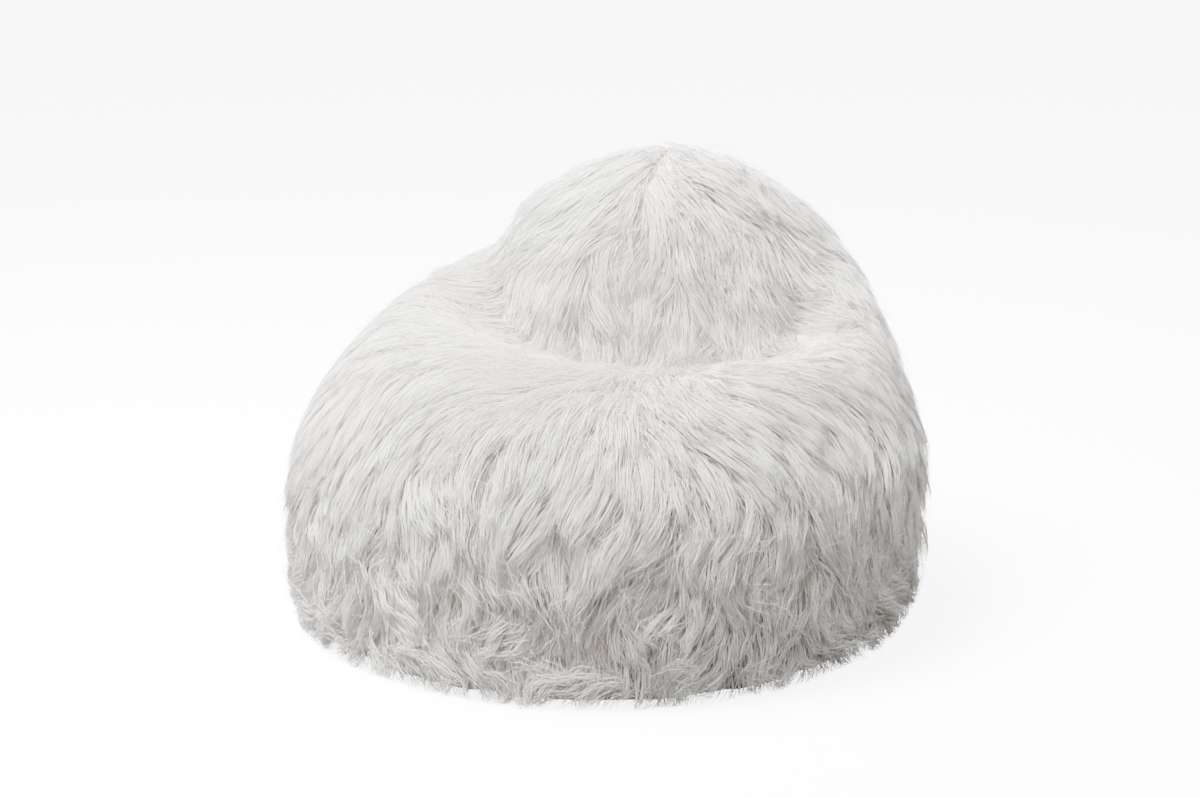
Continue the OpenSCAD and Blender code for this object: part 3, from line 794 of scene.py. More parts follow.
def shell_mesh(name, rings_outer, rings_inner):
    """A closed shell between two grids of points of the same size, (rows, columns, 3)."""
    rows, columns = rings_outer.shape[:2]
    points = np.concatenate([rings_outer.reshape(-1, 3), rings_inner.reshape(-1, 3)])
    half = rows * columns

    def at(j, i, inner):
        return j * columns + i + (half if inner else 0)

    faces = []
    for j in range(rows - 1):
        for i in range(columns - 1):
            faces.append([at(j, i, 0), at(j, i + 1, 0), at(j + 1, i + 1, 0), at(j + 1, i, 0)])
            faces.append([at(j, i, 1), at(j + 1, i, 1), at(j + 1, i + 1, 1), at(j, i + 1, 1)])
    end, top = columns - 1, rows - 1
    for j in range(rows - 1):
        faces.append([at(j, 0, 0), at(j + 1, 0, 0), at(j + 1, 0, 1), at(j, 0, 1)])
        faces.append([at(j, end, 0), at(j, end, 1), at(j + 1, end, 1), at(j + 1, end, 0)])
    for i in range(columns - 1):
        faces.append([at(0, i, 0), at(0, i, 1), at(0, i + 1, 1), at(0, i + 1, 0)])
        faces.append([at(top, i, 0), at(top, i + 1, 0), at(top, i + 1, 1), at(top, i, 1)])
    return smooth_piece(name, points.tolist(), faces)


def cap_mesh(name, outer, inner, outer_tip, inner_tip):
    """A closed cap between two grids, (rows, columns, 3), that go all the way round and end in a tip."""
    rows, columns = outer.shape[:2]
    points = np.concatenate([outer.reshape(-1, 3), inner.reshape(-1, 3), [outer_tip, inner_tip]])
    half = rows * columns
    faces = []
    for j in range(rows - 1):
        for i in range(columns):
            k = (i + 1) % columns
            a, b, c, d = j * columns + i, j * columns + k, (j + 1) * columns + k, (j + 1) * columns + i
            faces += [[a, b, c, d], [d + half, c + half, b + half, a + half]]
    last = (rows - 1) * columns
    for i in range(columns):
        k = (i + 1) % columns
        faces.append([i, i + half, k + half, k])
        faces.append([last + i, last + k, 2 * half])
        faces.append([last + k + half, last + i + half, 2 * half + 1])
    return smooth_piece(name, points.tolist(), faces)


def layer_point(turn, share, depth, square_on=False):
    """Points of a layer in the bag: depth below the wool towards the core, or square to the surface."""
    surface = wool.surface
    foot = surface.angle_of_foot(turn)
    rise = foot * (1 - share) + math.pi / 2 * share
    ray = np.stack([np.cos(turn) * np.cos(rise), np.sin(turn) * np.cos(rise), np.sin(rise)], -1)
    cell = surface.cell(ray)
    radius = surface.sampled(surface.radius, cell)
    if square_on:
        depth = depth / np.clip((surface.sampled(surface.normal, cell) * ray).sum(1), 0.52, 1)
    return surface.core + ray * (radius - depth)[:, None]


def ring_point(turn, radius, level):
    """Points on a level circle about the bag's axis, in the same directions from the core."""
    core = wool.surface.core
    along = core[0] * np.cos(turn) + core[1] * np.sin(turn)
    reach = -along + np.sqrt(along ** 2 + radius ** 2 - (core[:2] ** 2).sum())
    x, y = core[0] + reach * np.cos(turn), core[1] + reach * np.sin(turn)
    return np.stack([x, y, np.full(len(turn), level)], -1)


def crown_share(turn):
    """Where the crown starts along each direction, as a share of the way from the floor to the top."""
    low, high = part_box("pelt_crown")
    middle = np.array([(low.x + high.x) / 2, (low.y + high.y) / 2])
    reach = np.array([(high.x - low.x) / 2, (high.y - low.y) / 2]) * 0.96
    found = np.full(len(turn), 0.9)
    for share in np.linspace(0.995, 0.55, 60):
        point = layer_point(turn, np.full(len(turn), share), 0)
        inside = (((point[:, :2] - middle) / reach) ** 2).sum(1) < 1
        found = np.where(inside, share, found)
    return found


def side_grid(ends, layer, rows, columns):
    """Grid of a side panel between two directions, from its own circle at the foot up to the crown."""
    depth, radius, level, square_on = layer
    turn = np.linspace(*ends, columns)
    top = crown_share(turn) - SEAM_GAP
    share = np.linspace(0.035, 1, rows - 1)[:, None] * top[None]
    turns = np.broadcast_to(turn, share.shape)
    body = layer_point(turns.ravel(), share.ravel(), depth, square_on).reshape(rows - 1, columns, 3)
    body[..., 2] = np.maximum(body[..., 2], level + 0.0004 * np.arange(1, rows)[:, None])
    return np.concatenate([ring_point(turn, radius, level)[None], body])


def crown_grid(layer, rows, columns):
    turn = np.arange(columns) / columns * 2 * math.pi
    start = crown_share(turn) + SEAM_GAP
    share = np.linspace(0, 0.985, rows)[:, None] * (1 - start[None]) + start[None]
    turns = np.broadcast_to(turn, share.shape)
    return layer_point(turns.ravel(), share.ravel(), layer[0], layer[3]).reshape(rows, columns, 3)


def middle_directions(names):
    """For each side panel, the direction of the middle of its foot, seen from above."""
    middles = []
    for name in names:
        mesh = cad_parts[name].data
        co = np.empty(len(mesh.vertices) * 3, np.float32)
        mesh.vertices.foreach_get("co", co)
        co = co.reshape(-1, 3)
        foot = co[co[:, 2] < co[:, 2].min() + 1e-4][:, :2].mean(0)
        middles.append(math.atan2(foot[1], foot[0]))
    return np.array(middles)


def make_shells(names, crown, stem, outer_layer, inner_layer, dress, grid, finish):
    """The side panels and crown of a layer, each a closed shell. dress works on the outer face."""
    step = 2 * math.pi / len(names)
    rows, columns = grid
    for name, middle in zip(names, middle_directions(names)):
        ends = (middle - step / 2 + SEAM_GAP, middle + step / 2 - SEAM_GAP)
        outer = dress(side_grid(ends, outer_layer, rows, columns))
        inner = side_grid(ends, inner_layer, rows, columns)
        finish(shell_mesh(name.replace(*stem), outer, inner), name)
    outer = dress(crown_grid(outer_layer, *CROWN_GRID))
    inner = crown_grid(inner_layer, *CROWN_GRID)
    finish(cap_mesh(crown.replace(*stem), outer, inner, outer[-1].mean(0), inner[-1].mean(0)), crown)


class BEANBAG_OT_pelts(bpy.types.Operator):
    """Make the seven pelts: each a hide with its dense fleece, as one closed padded shell"""
    bl_idname = "beanbag.pelts"
    bl_label = "Pelts"

    def execute(self, context):
        wool.ready()
        material = fleece_material(context.scene.bean_bag_wool)
        rng = np.random.default_rng(FLEECE_SEED)
        lumps, fine = SoftNoise(rng, 0.05, 22), SoftNoise(rng, 0.022, 22)
        foot = wool.surface.foot_radius
        welt_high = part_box("base_welt")[1]

        def fleece(grid):
            flat = grid.reshape(-1, 3)
            ray = unit(flat - wool.surface.core)
            flat = flat + ray * (0.0022 * lumps(flat) + 0.0012 * fine(flat))[:, None]
            flat[:, 2] = np.maximum(flat[:, 2], SHELL_LEVEL)
            return flat.reshape(grid.shape)

        def finish(piece, node):
            piece.data.materials.append(material)
            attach(piece, "bag")
            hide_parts(node)

        outer = (FLEECE_DEPTH, foot - FLEECE_DEPTH, SHELL_LEVEL, True)
        inner = (HIDE_DEPTH, welt_high.x + 0.0016, SHELL_LEVEL, False)
        make_shells(SIDE_PELTS, "pelt_crown", ("pelt", "hide"), outer, inner, fleece, HIDE_GRID, finish)
        return {"FINISHED"}


def fleece_material(settings):
    """The dense short fleece on the hide, seen between the locks."""
    material, tree, shader = new_material("Dense fleece")
    coordinates = tree.nodes.new("ShaderNodeTexCoord")
    strands = add_node(tree, "ShaderNodeTexNoise", Scale=260, Detail=3, Roughness=0.6)
    tree.links.new(coordinates.outputs["Object"], strands.inputs["Vector"])
    middle = [0.5 * r + 0.5 * t for r, t in zip(settings.root_colour, settings.tip_colour)]
    paint = colour_ramp(
        tree, strands.outputs["Fac"], (0.32, rgba(settings.root_colour, 0.88)), (0.68, rgba(middle)))
    tree.links.new(paint, shader.inputs["Base Color"])
    bump = add_node(tree, "ShaderNodeBump", Strength=0.7, Distance=0.002)
    tree.links.new(strands.outputs["Fac"], bump.inputs["Height"])
    tree.links.new(bump.outputs["Normal"], shader.inputs["Normal"])
    shader.inputs["Roughness"].default_value = 0.85
    shader.inputs["Sheen Weight"].default_value = 0.4
    return material


class BEANBAG_OT_undercoat(bpy.types.Operator):
    """Grow the short dense wisps of the undercoat on every pelt"""
    bl_idname = "beanbag.undercoat"
    bl_label = "Undercoat"

    def execute(self, context):
        settings = context.scene.bean_bag_wool
        wool.ready()
        # the undercoat's copy is painted a little darker, as painted shade under the locks
        make_wisps("undercoat", grow_undercoat(settings), wool_material("Undercoat wool", settings, 0.96))
        return {"FINISHED"}


def grow_flyaways(settings):
    """Single fine wisps that stand out from the rest and soften the outline."""
    rng = np.random.default_rng(FLYAWAY_SEED)
    surface = wool.surface
    roots = surface.scattered(settings.flyaways, rng)
    roots = roots[roots[:, 2] > 0.03]
    # a fringe at the foot, which hides the edge of the hide
    foot = surface.scattered(settings.foot_fringe * 24, rng)
    foot = foot[(foot[:, 2] > 0.012) & (foot[:, 2] < 0.05)]
    at_foot = np.repeat([0.0, 1.0], [len(roots), len(foot)])
    roots = np.concatenate([roots, foot])
    count, steps = len(roots), 5
    length = np.minimum(settings.lock_length * rng.uniform(0.45, 0.95, count), roots[:, 2] + 0.012)
    place, normal, heading = combed_lines(roots, steps, length, rng, np.full(count, 2.6))
    share = np.linspace(0, 1, steps)
    side = np.cross(normal, heading)
    bend = rng.normal(0, 0.011, count)[:, None] * share[None] ** 2
    top = rng.uniform(0.004, 0.0175, count)
    deep = FLYAWAY_ROOT + (FRINGE_ROOT - FLYAWAY_ROOT) * at_foot[:, None]
    height = -deep + (top[:, None] + deep) * share[None] ** 0.85
    line = raised(place + side * bend[..., None], height)
    width = settings.wisp_width * rng.uniform(0.3, 0.5, count) * (1 + 0.9 * at_foot)
    # painted shade: the fringe at the foot is painted darker, standing in for the shade near the floor
    return lay_on_floor(line), width, rng.uniform(0.6, 1, count) - 0.25 * at_foot, pelt_of(roots)


class BEANBAG_OT_locks(bpy.types.Operator):
    """Grow the long silky locks on every pelt"""
    bl_idname = "beanbag.locks"
    bl_label = "Long locks"

    def execute(self, context):
        settings = context.scene.bean_bag_wool
        wool.ready()
        make_wisps("locks", grow_locks(settings, False), wool_material("Long wool", settings))
        # the curly wool low on the sides is painted a little darker, as painted shade
        make_wisps("curls", grow_locks(settings, True), wool_material("Curly wool", settings, 0.97))
        make_wisps("flyaways", grow_flyaways(settings), wool_material("Flyaway wool", settings))
        return {"FINISHED"}


# ---------------------------------------------------------------- leather, zips, liner and beads

def weave_pattern(tree, coordinates, scale):
    split = tree.nodes.new("ShaderNodeSeparateXYZ")
    tree.links.new(coordinates, split.inputs[0])
    upright = add_node(tree, "ShaderNodeMath", operation="ADD")
    tree.links.new(split.outputs["Y"], upright.inputs[0])
    tree.links.new(split.outputs["Z"], upright.inputs[1])
    waves = []
    for source in (split.outputs["X"], upright.outputs[0]):
        scaled = add_node(tree, "ShaderNodeMath", operation="MULTIPLY")
        tree.links.new(source, scaled.inputs[0])
        tree.links.new(scale, scaled.inputs[1])
        wave = add_node(tree, "ShaderNodeMath", operation="SINE")
        tree.links.new(scaled.outputs[0], wave.inputs[0])
        waves.append(wave)
    crossed = add_node(tree, "ShaderNodeMath", operation="MULTIPLY_ADD")
    crossed.inputs[2].default_value = 0.5
    halved = add_node(tree, "ShaderNodeMath", operation="MULTIPLY")
    halved.inputs[1].default_value = 0.5
    tree.links.new(waves[0].outputs[0], halved.inputs[0])
    tree.links.new(halved.outputs[0], crossed.inputs[0])
    tree.links.new(waves[1].outputs[0], crossed.inputs[1])
    return crossed.outputs[0]


def weave_group():
    """Plain weave of over-and-under threads on a flat piece: a mask that is 1 on top of a thread."""
    return pattern_group("Plain weave", "Thread pitch", 0.001, math.pi, weave_pattern)


def grain_pattern(tree, coordinates, scale):
    cells = add_node(tree, "ShaderNodeTexVoronoi", feature="DISTANCE_TO_EDGE")
    edge = add_node(tree, "ShaderNodeMapRange")
    edge.inputs["From Max"].default_value = 0.25
    tree.links.new(scale, cells.inputs["Scale"])
    tree.links.new(coordinates, cells.inputs["Vector"])
    tree.links.new(cells.outputs["Distance"], edge.inputs["Value"])
    return edge.outputs["Result"]


def grain_group():
    """Pebbled grain of leather or beads at a given size: a mask that is 0 in the creases."""
    return pattern_group("Pebble grain", "Size", 0.002, 1, grain_pattern)


def patterned_material(name, colour, group, relief, roughness,
                       shade=0.86, sheen=0.0, metal=0.0, cloud=0.12, **size):
    """A material whose colour, roughness and relief follow a pattern group, with cloudy unevenness."""
    material, tree, shader = new_material(name)
    pattern = place_group(tree, group, **size)
    cloudy = place_group(tree, object_noise_group(), Size=cloud)
    painted = mixed(tree, pattern.outputs["Mask"], rgba(colour, shade), rgba(colour))
    soil = colour_ramp(tree, cloudy.outputs["Mask"], (0.3, (0.86, 0.85, 0.83, 1)), (0.65, WHITE))
    tree.links.new(mixed(tree, 1, painted, soil, "MULTIPLY"), shader.inputs["Base Color"])
    rough = add_node(tree, "ShaderNodeMapRange")
    rough.inputs["To Min"].default_value = min(1.0, roughness + 0.1)
    rough.inputs["To Max"].default_value = max(0.05, roughness - 0.08)
    tree.links.new(pattern.outputs["Mask"], rough.inputs["Value"])
    tree.links.new(rough.outputs["Result"], shader.inputs["Roughness"])
    bump = add_node(tree, "ShaderNodeBump", Strength=0.6, Distance=relief)
    tree.links.new(pattern.outputs["Mask"], bump.inputs["Height"])
    tree.links.new(bump.outputs["Normal"], shader.inputs["Normal"])
    shader.inputs["Sheen Weight"].default_value = sheen
    shader.inputs["Metallic"].default_value = metal
    return material


def refined_copy(node, name, material, body, edge=0.0004, segments=2):
    """A copy of a plain solid with its doubles merged and its edges rounded, in place of the solid."""
    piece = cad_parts[node].copy()
    piece.data = piece.data.copy()
    for key in list(piece.keys()):
        del piece[key]
    piece.name = piece.data.name = name
    piece.parent = None
    bpy.context.scene.collection.objects.link(piece)
    bpy.ops.object.select_all(action="DESELECT")
    bpy.context.view_layer.objects.active = piece
    piece.select_set(True)
    bpy.ops.object.mode_set(mode="EDIT")
    bpy.ops.mesh.select_all(action="SELECT")
    bpy.ops.mesh.remove_doubles(threshold=2e-6)
    bpy.ops.mesh.dissolve_limited(angle_limit=math.radians(1))
    bpy.ops.object.mode_set(mode="OBJECT")
    if edge:
        bevel = piece.modifiers.new("Rounded edges", "BEVEL")
        bevel.width, bevel.segments = edge, segments
        bevel.limit_method, bevel.angle_limit = "ANGLE", math.radians(35)
        bevel.use_clamp_overlap = True
        bpy.ops.object.modifier_apply(modifier=bevel.name)
    bpy.ops.object.shade_smooth_by_angle(angle=math.radians(40))
    piece.select_set(False)
    piece.data.materials.clear()
    piece.data.materials.append(material)
    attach(piece, body)
    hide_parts(node)
    return piece


def stitch_row(name, spots, headings, length, thickness, material, lift):
    """A row of stitches, each a small rounded bar lying along its heading, modelled once and copied."""
    bpy.ops.mesh.primitive_uv_sphere_add(segments=8, ring_count=5, radius=1, location=(0, 0, 0))
    bead = bpy.context.object
    shape = np.array([v.co for v in bead.data.vertices])
    faces = [list(f.vertices) for f in bead.data.polygons]
    bpy.data.objects.remove(bead)
    shape = shape * np.array([length / 2, thickness / 2, thickness / 2])
    points, polygons = [], []
    for spot, heading in zip(spots, headings):
        start = len(points)
        c, r = math.cos(heading), math.sin(heading)
        x, y, z = shape.T
        turned = np.stack([x * c - y * r, x * r + y * c, z], -1)
        points.extend((turned + np.array([spot[0], spot[1], lift])).tolist())
        polygons.extend([[start + i for i in f] for f in faces])
    piece = smooth_piece(name, points, polygons)
    piece.data.materials.append(material)
    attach(piece, "bag")
    return piece


class BEANBAG_OT_base(bpy.types.Operator):
    """Make the leather base: two suede panels, the end tabs, the piping and their stitches"""
    bl_idname = "beanbag.base"
    bl_label = "Leather base"

    def execute(self, context):
        settings = context.scene.bean_bag_leather
        suede = patterned_material("Undyed suede", settings.suede_colour, grain_group(), 0.0003, 0.9,
                                   shade=0.8, sheen=0.35, Size=0.0016)
        piping = patterned_material("Piping leather", settings.piping_colour, grain_group(), 0.0004, 0.5,
                                    shade=0.75, cloud=0.05, Size=0.0011)
        thread = patterned_material("Waxed thread", [0.72, 0.69, 0.62], weave_group(), 0.0002, 0.6,
                                    Thread_pitch=0.0005)
        for node, name in (
            ("base_panel_front", "base_suede_front"),
            ("base_panel_rear", "base_suede_rear"),
            ("base_end_tab_left", "base_suede_tab_left"),
            ("base_end_tab_right", "base_suede_tab_right"),
        ):
            refined_copy(node, name, suede, "bag", edge=0.0005)
        self.make_welt(piping)
        pitch = settings.stitch_pitch
        length, thickness, lift = pitch * 0.66, 0.0009, 0.0003
        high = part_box("base_panel_front")[1]
        rear_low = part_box("base_panel_rear")[0]
        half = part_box("zip_tape_front")[1].x - 0.002
        count = int(2 * half / pitch)
        for side, edge in (("front", high.y), ("rear", rear_low.y)):
            away = -1 if side == "front" else 1
            for row, gap in (("inner", 0.0045), ("outer", 0.0105)):
                along = edge + away * gap
                spots = [(-half + (i + 0.5) * 2 * half / count, along) for i in range(count)]
                stitch_row(f"hem_stitches_{side}_{row}", spots, [0] * count, length, thickness, thread,
                           lift)
        radius = high.x - 0.007
        around = int(2 * math.pi * radius / pitch)
        angles = [2 * math.pi * i / around for i in range(around)]
        open_low, open_high = high.y - 0.001, rear_low.y + 0.001
        angles = [a for a in angles if not open_low < radius * math.sin(a) < open_high]
        spots = [(radius * math.cos(a), radius * math.sin(a)) for a in angles]
        stitch_row("base_seam_stitches", spots, [a + math.pi / 2 for a in angles], length, thickness, thread,
                   lift)
        return {"FINISHED"}

    def make_welt(self, material):
        """Piping: a leather strip folded round a cord, slightly ribbed where it is drawn tight."""
        low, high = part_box("base_welt")
        thick, level = (high.z - low.z) / 2, (low.z + high.z) / 2
        radius = (high.x - low.x) / 2 - thick
        bpy.ops.mesh.primitive_torus_add(
            location=(0, 0, level), major_radius=radius, minor_radius=thick,
            major_segments=360, minor_segments=14)
        piece = bpy.context.object
        piece.name = piece.data.name = "base_piping"
        piece.data.transform(piece.matrix_world)
        piece.matrix_world.identity()
        ripple = SoftNoise(np.random.default_rng(PIPING_SEED), 0.02)
        co = np.array([v.co for v in piece.data.vertices])
        middle = unit(co * np.array([1, 1, 0])) * radius
        middle[:, 2] = level
        co = middle + (co - middle) * (1 - 0.035 - 0.035 * ripple(co))[:, None]
        piece.data.vertices.foreach_set("co", co.astype(np.float32).ravel())
        bpy.ops.object.shade_smooth()
        piece.select_set(False)
        piece.data.materials.append(material)
        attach(piece, "bag")
        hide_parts("base_welt")


def make_coil(node, name, pitch, material):
    """One half of a zip's coil: a nylon wire wound round and round along the tape's edge."""
    low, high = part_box(node)
    wire = (high.z - low.z) * 0.13
    turns = int((high.x - low.x - 2 * wire) / pitch)
    per_turn = 8
    count = turns * per_turn + 1
    turn = np.arange(count) / per_turn * 2 * math.pi
    x = np.linspace(low.x + wire, high.x - wire, count)
    half_y, half_z = (high.y - low.y) / 2 - wire, (high.z - low.z) / 2 - wire
    y = (low.y + high.y) / 2 + half_y * np.cos(turn)
    z = (low.z + high.z) / 2 + half_z * np.sin(turn)
    curve = bpy.data.curves.new(name, "CURVE")
    curve.dimensions = "3D"
    curve.bevel_depth, curve.bevel_resolution = wire, 0
    curve.use_fill_caps = True
    spline = curve.splines.new("POLY")
    spline.points.add(count - 1)
    spline.points.foreach_set("co", np.stack([x, y, z, np.ones(count)], -1).astype(np.float32).ravel())
    piece = bpy.data.objects.new(name, curve)
    bpy.context.scene.collection.objects.link(piece)
    bpy.ops.object.select_all(action="DESELECT")
    bpy.context.view_layer.objects.active = piece
    piece.select_set(True)
    bpy.ops.object.convert(target="MESH")
    piece = bpy.context.object
    bpy.ops.object.shade_smooth()
    piece.select_set(False)
    piece.data.materials.clear()
    piece.data.materials.append(material)
    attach(piece, "bag")
    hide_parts(node)


class BEANBAG_OT_zips(bpy.types.Operator):
    """Make both zips: woven tapes, wound coils, stops, sliders and the pull"""
    bl_idname = "beanbag.zips"
    bl_label = "Zips"

    def execute(self, context):
        settings = context.scene.bean_bag_cloth
        tape = patterned_material("Zip tape weave", settings.tape_colour, weave_group(), 0.0002, 0.85,
                                  shade=0.72, sheen=0.15, cloud=0.04, Thread_pitch=0.0007)
        nylon = patterned_material("Coil nylon", [0.74, 0.72, 0.66], object_noise_group(), 0.0001, 0.42,
                                   shade=0.93, Size=0.004)
        nickel = patterned_material("Satin nickel", [0.62, 0.61, 0.6], object_noise_group(), 0.00005, 0.32,
                                    shade=0.82, metal=1.0, cloud=0.008, Size=0.0012)
        for stem in ("zip", "liner_zip"):
            for side in ("front", "rear"):
                refined_copy(f"{stem}_tape_{side}", f"{stem}_woven_tape_{side}", tape, "bag",
                             edge=0.0002)
                make_coil(f"{stem}_coil_{side}", f"{stem}_wound_coil_{side}", settings.coil_pitch, nylon)
        for node, name, body in (
            ("zip_top_stops", "zip_nickel_top_stops", "bag"),
            ("zip_bottom_stop", "zip_nickel_bottom_stop", "bag"),
            ("liner_zip_stops", "liner_zip_nickel_stops", "bag"),
            ("zip_slider", "zip_nickel_slider", "slider"),
            ("zip_pull", "zip_nickel_pull", "pull"),
            ("liner_zip_slider", "liner_zip_nickel_slider", "liner_slider"),
        ):
            refined_copy(node, name, nickel, body, edge=0.00018)
        return {"FINISHED"}


class BEANBAG_OT_liner(bpy.types.Operator):
    """Make the inner cotton bag: four panels, the crown and the base"""
    bl_idname = "beanbag.liner"
    bl_label = "Inner bag"

    def execute(self, context):
        wool.ready()
        settings = context.scene.bean_bag_cloth
        cotton = patterned_material("Liner cotton", settings.liner_colour, weave_group(), 0.0003, 0.88,
                                    shade=0.82, sheen=0.2, Thread_pitch=0.0009)
        low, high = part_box("liner_base")
        foot = high.x + 0.0012
        level = low.z

        def finish(piece, node):
            piece.data.materials.append(cotton)
            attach(piece, "bag")
            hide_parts(node)

        outer = (COTTON_DEPTHS[0], foot + 0.0012, level, False)
        inner = (COTTON_DEPTHS[1], foot, level, False)
        make_shells(LINER_PANELS, "liner_crown", ("liner", "cotton"), outer, inner, lambda grid: grid,
                    COTTON_GRID, finish)
        base = refined_copy("liner_base", "cotton_base", cotton, "bag", edge=0.0003)
        return {"FINISHED"}


class BEANBAG_OT_fill(bpy.types.Operator):
    """Make the fill of polystyrene beads as one crowned solid"""
    bl_idname = "beanbag.fill"
    bl_label = "Bead fill"

    def execute(self, context):
        wool.ready()
        beads = patterned_material("Polystyrene beads", [0.86, 0.86, 0.85], grain_group(), 0.0015, 0.7,
                                   shade=0.78, Size=0.004)
        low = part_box("bead_fill")[0]
        base_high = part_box("liner_base")[1]
        rows, columns = BEAD_GRID
        turn = np.arange(columns) / columns * 2 * math.pi
        share = np.linspace(0.04, 0.992, rows)[:, None] * np.ones(columns)[None]
        turns = np.broadcast_to(turn, share.shape)
        sides = layer_point(turns.ravel(), share.ravel(), BEAD_DEPTH).reshape(rows, columns, 3)
        sides[..., 2] = np.maximum(sides[..., 2], low.z + 0.0004 * np.arange(1, rows + 1)[:, None])
        foot = ring_point(turn, base_high.x - 0.0012, low.z)
        top = sides[-1].mean(0)
        # the bottom rises over the tunnel on the cover's zip and over the inner bag's own zip
        inner_rings, ramp = 52, 0.014
        scale = np.linspace(0.02, 0.985, inner_rings)[:, None, None]
        bottom = foot[None] * np.concatenate([scale, scale, np.ones_like(scale)], -1)
        slider_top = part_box("liner_zip_slider")[1].z
        humps = (
            ("zip_tape_front", "zip_tape_rear", 0.018, 0.032, base_high.z + 0.0008),
            ("liner_zip_tape_front", "liner_zip_tape_rear", 0.01, 0.012, slider_top + 0.001),
        )
        for front, rear, beside, beyond, height in humps:
            near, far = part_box(front)[0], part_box(rear)[1]
            past = np.maximum(near.y - beside - bottom[..., 1], bottom[..., 1] - far.y - beside)
            past = np.maximum(past, np.abs(bottom[..., 0]) - far.x - beyond)
            rise = low.z + (height - low.z) * np.clip(1 - past / ramp, 0, 1)
            bottom[..., 2] = np.maximum(bottom[..., 2], rise)
        rows += inner_rings
        points = np.concatenate([bottom, foot[None], sides]).reshape(-1, 3)
        points = np.concatenate([points, [top, bottom[0].mean(0)]])
        faces = []
        for j in range(rows):
            for i in range(columns):
                k, here, above = (i + 1) % columns, j * columns, (j + 1) * columns
                faces.append([here + i, here + k, above + k, above + i])
        last = rows * columns
        for i in range(columns):
            k = (i + 1) % columns
            faces.append([last + i, last + k, len(points) - 2])
            faces.append([k, i, len(points) - 1])
        piece = smooth_piece("beads", points.tolist(), faces)
        piece.data.materials.append(beads)
        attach(piece, "bag")
        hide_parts("bead_fill")
        return {"FINISHED"}


# ---------------------------------------------------------------- the studio

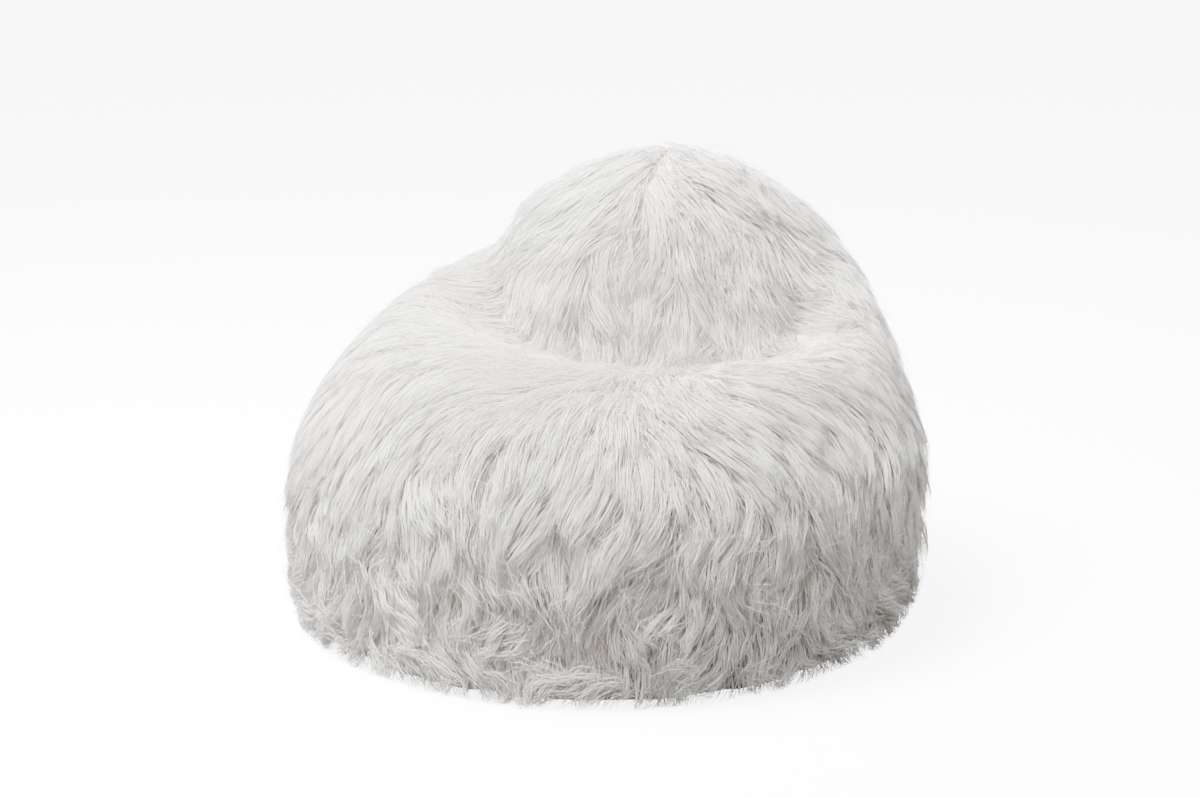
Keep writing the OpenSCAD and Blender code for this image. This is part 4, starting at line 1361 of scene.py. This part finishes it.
class BEANBAG_OT_studio(bpy.types.Operator):
    """Make the plain pale floor, the soft studio light and the camera"""
    bl_idname = "beanbag.studio"
    bl_label = "Studio"

    def execute(self, context):
        settings = context.scene.bean_bag_studio
        bpy.ops.mesh.primitive_plane_add(size=40, location=(0, 0, self.floor_level))
        floor = context.object
        floor.name = "studio_floor"
        material, tree, shader = new_material("Studio floor")
        # a dull floor to the wool, so that its low sides stay in shade, and a pale one to the eye
        path = tree.nodes.new("ShaderNodeLightPath")
        seen_floor = rgba(settings.floor_colour)
        paint = mixed(tree, path.outputs["Is Camera Ray"], rgba(settings.floor_colour, 0.15), seen_floor)
        tree.links.new(paint, shader.inputs["Base Color"])
        shader.inputs["Emission Color"].default_value = WHITE
        glow = add_node(tree, "ShaderNodeMath", operation="MULTIPLY")
        glow.inputs[1].default_value = self.glow
        tree.links.new(path.outputs["Is Camera Ray"], glow.inputs[0])
        tree.links.new(glow.outputs[0], shader.inputs["Emission Strength"])
        shader.inputs["Roughness"].default_value = 0.9
        shader.inputs["Specular IOR Level"].default_value = 0.1
        floor.data.materials.append(material)
        world = bpy.data.worlds.new("Studio air")
        world.use_nodes = True
        tree = world.node_tree
        coordinates = tree.nodes.new("ShaderNodeTexCoord")
        split = tree.nodes.new("ShaderNodeSeparateXYZ")
        tree.links.new(coordinates.outputs["Generated"], split.inputs[0])
        sky = colour_ramp(tree, split.outputs["Z"], (0.05, (0.03, 0.03, 0.03, 1)), (0.9, WHITE))
        lit = tree.nodes["Background"]
        tree.links.new(sky, lit.inputs["Color"])
        lit.inputs["Strength"].default_value = self.sky_strength
        # the eye sees the same pale air all round
        seen = tree.nodes.new("ShaderNodeBackground")
        seen.inputs["Color"].default_value = WHITE
        seen.inputs["Strength"].default_value = self.glow
        path, choice = tree.nodes.new("ShaderNodeLightPath"), tree.nodes.new("ShaderNodeMixShader")
        tree.links.new(path.outputs["Is Camera Ray"], choice.inputs[0])
        tree.links.new(lit.outputs[0], choice.inputs[1])
        tree.links.new(seen.outputs[0], choice.inputs[2])
        tree.links.new(choice.outputs[0], tree.nodes["World Output"].inputs["Surface"])
        context.scene.world = world
        self.add_light("Top softbox", (-0.95, -0.5, 2.95), (0, 0, 0.3), 1.9, 900)
        self.add_light("Front fill", (-1.9, -3.2, 1.7), (0, 0, 0.3), 2.2, 22)
        self.add_camera(context, settings)
        return {"FINISHED"}

    def add_light(self, name, place, target, size, power):
        data = bpy.data.lights.new(name, "AREA")
        data.shape = "DISK"
        data.size = size
        data.energy = power
        light = bpy.data.objects.new(name, data)
        light.location = place
        light.rotation_euler = (Vector(target) - Vector(place)).to_track_quat("-Z", "Y").to_euler()
        bpy.context.scene.collection.objects.link(light)

    def add_camera(self, context, settings):
        data = bpy.data.cameras.new("Camera")
        data.lens = settings.lens
        camera = bpy.data.objects.new("Camera", data)
        context.scene.collection.objects.link(camera)
        a, e = settings.azimuth, settings.elevation
        back = Vector((math.sin(a) * math.cos(e), -math.cos(a) * math.cos(e), math.sin(e)))
        target = Vector((0, 0, self.target_height))
        camera.location = target + back * settings.distance
        camera.rotation_euler = (-back).to_track_quat("-Z", "Y").to_euler()
        context.scene.camera = camera

    target_height = 0.302
    floor_level = -0.0004
    glow = 7.0
    sky_strength = 2.9


class BEANBAG_PT_panel(bpy.types.Panel):
    """Lists the steps that build the chair"""
    bl_idname = "BEANBAG_PT_panel"
    bl_label = "Wool Bean Bag Chair"
    bl_space_type = "VIEW_3D"
    bl_region_type = "UI"
    bl_category = "Bean Bag"

    def draw(self, context):
        for name in SETTINGS:
            box = self.layout.box()
            group = getattr(context.scene, name)
            for key in group.__annotations__:
                box.prop(group, key)
        for operator in STEPS:
            self.layout.operator(operator.bl_idname)


STEPS = (
    BEANBAG_OT_fill,
    BEANBAG_OT_liner,
    BEANBAG_OT_zips,
    BEANBAG_OT_base,
    BEANBAG_OT_pelts,
    BEANBAG_OT_undercoat,
    BEANBAG_OT_locks,
    BEANBAG_OT_studio,
)


def register():
    for cls in (*SETTINGS.values(), *STEPS, BEANBAG_PT_panel):
        bpy.utils.register_class(cls)
    for name, cls in SETTINGS.items():
        setattr(bpy.types.Scene, name, bpy.props.PointerProperty(type=cls))


def unregister():
    for name in SETTINGS:
        delattr(bpy.types.Scene, name)
    for cls in reversed((*SETTINGS.values(), *STEPS, BEANBAG_PT_panel)):
        bpy.utils.unregister_class(cls)


def main():
    register()
    bpy.ops.beanbag.fill()
    bpy.ops.beanbag.liner()
    bpy.ops.beanbag.zips()
    bpy.ops.beanbag.base()
    bpy.ops.beanbag.pelts()
    bpy.ops.beanbag.undercoat()
    bpy.ops.beanbag.locks()
    bpy.ops.beanbag.studio()


if __name__ == "__main__":
    main()
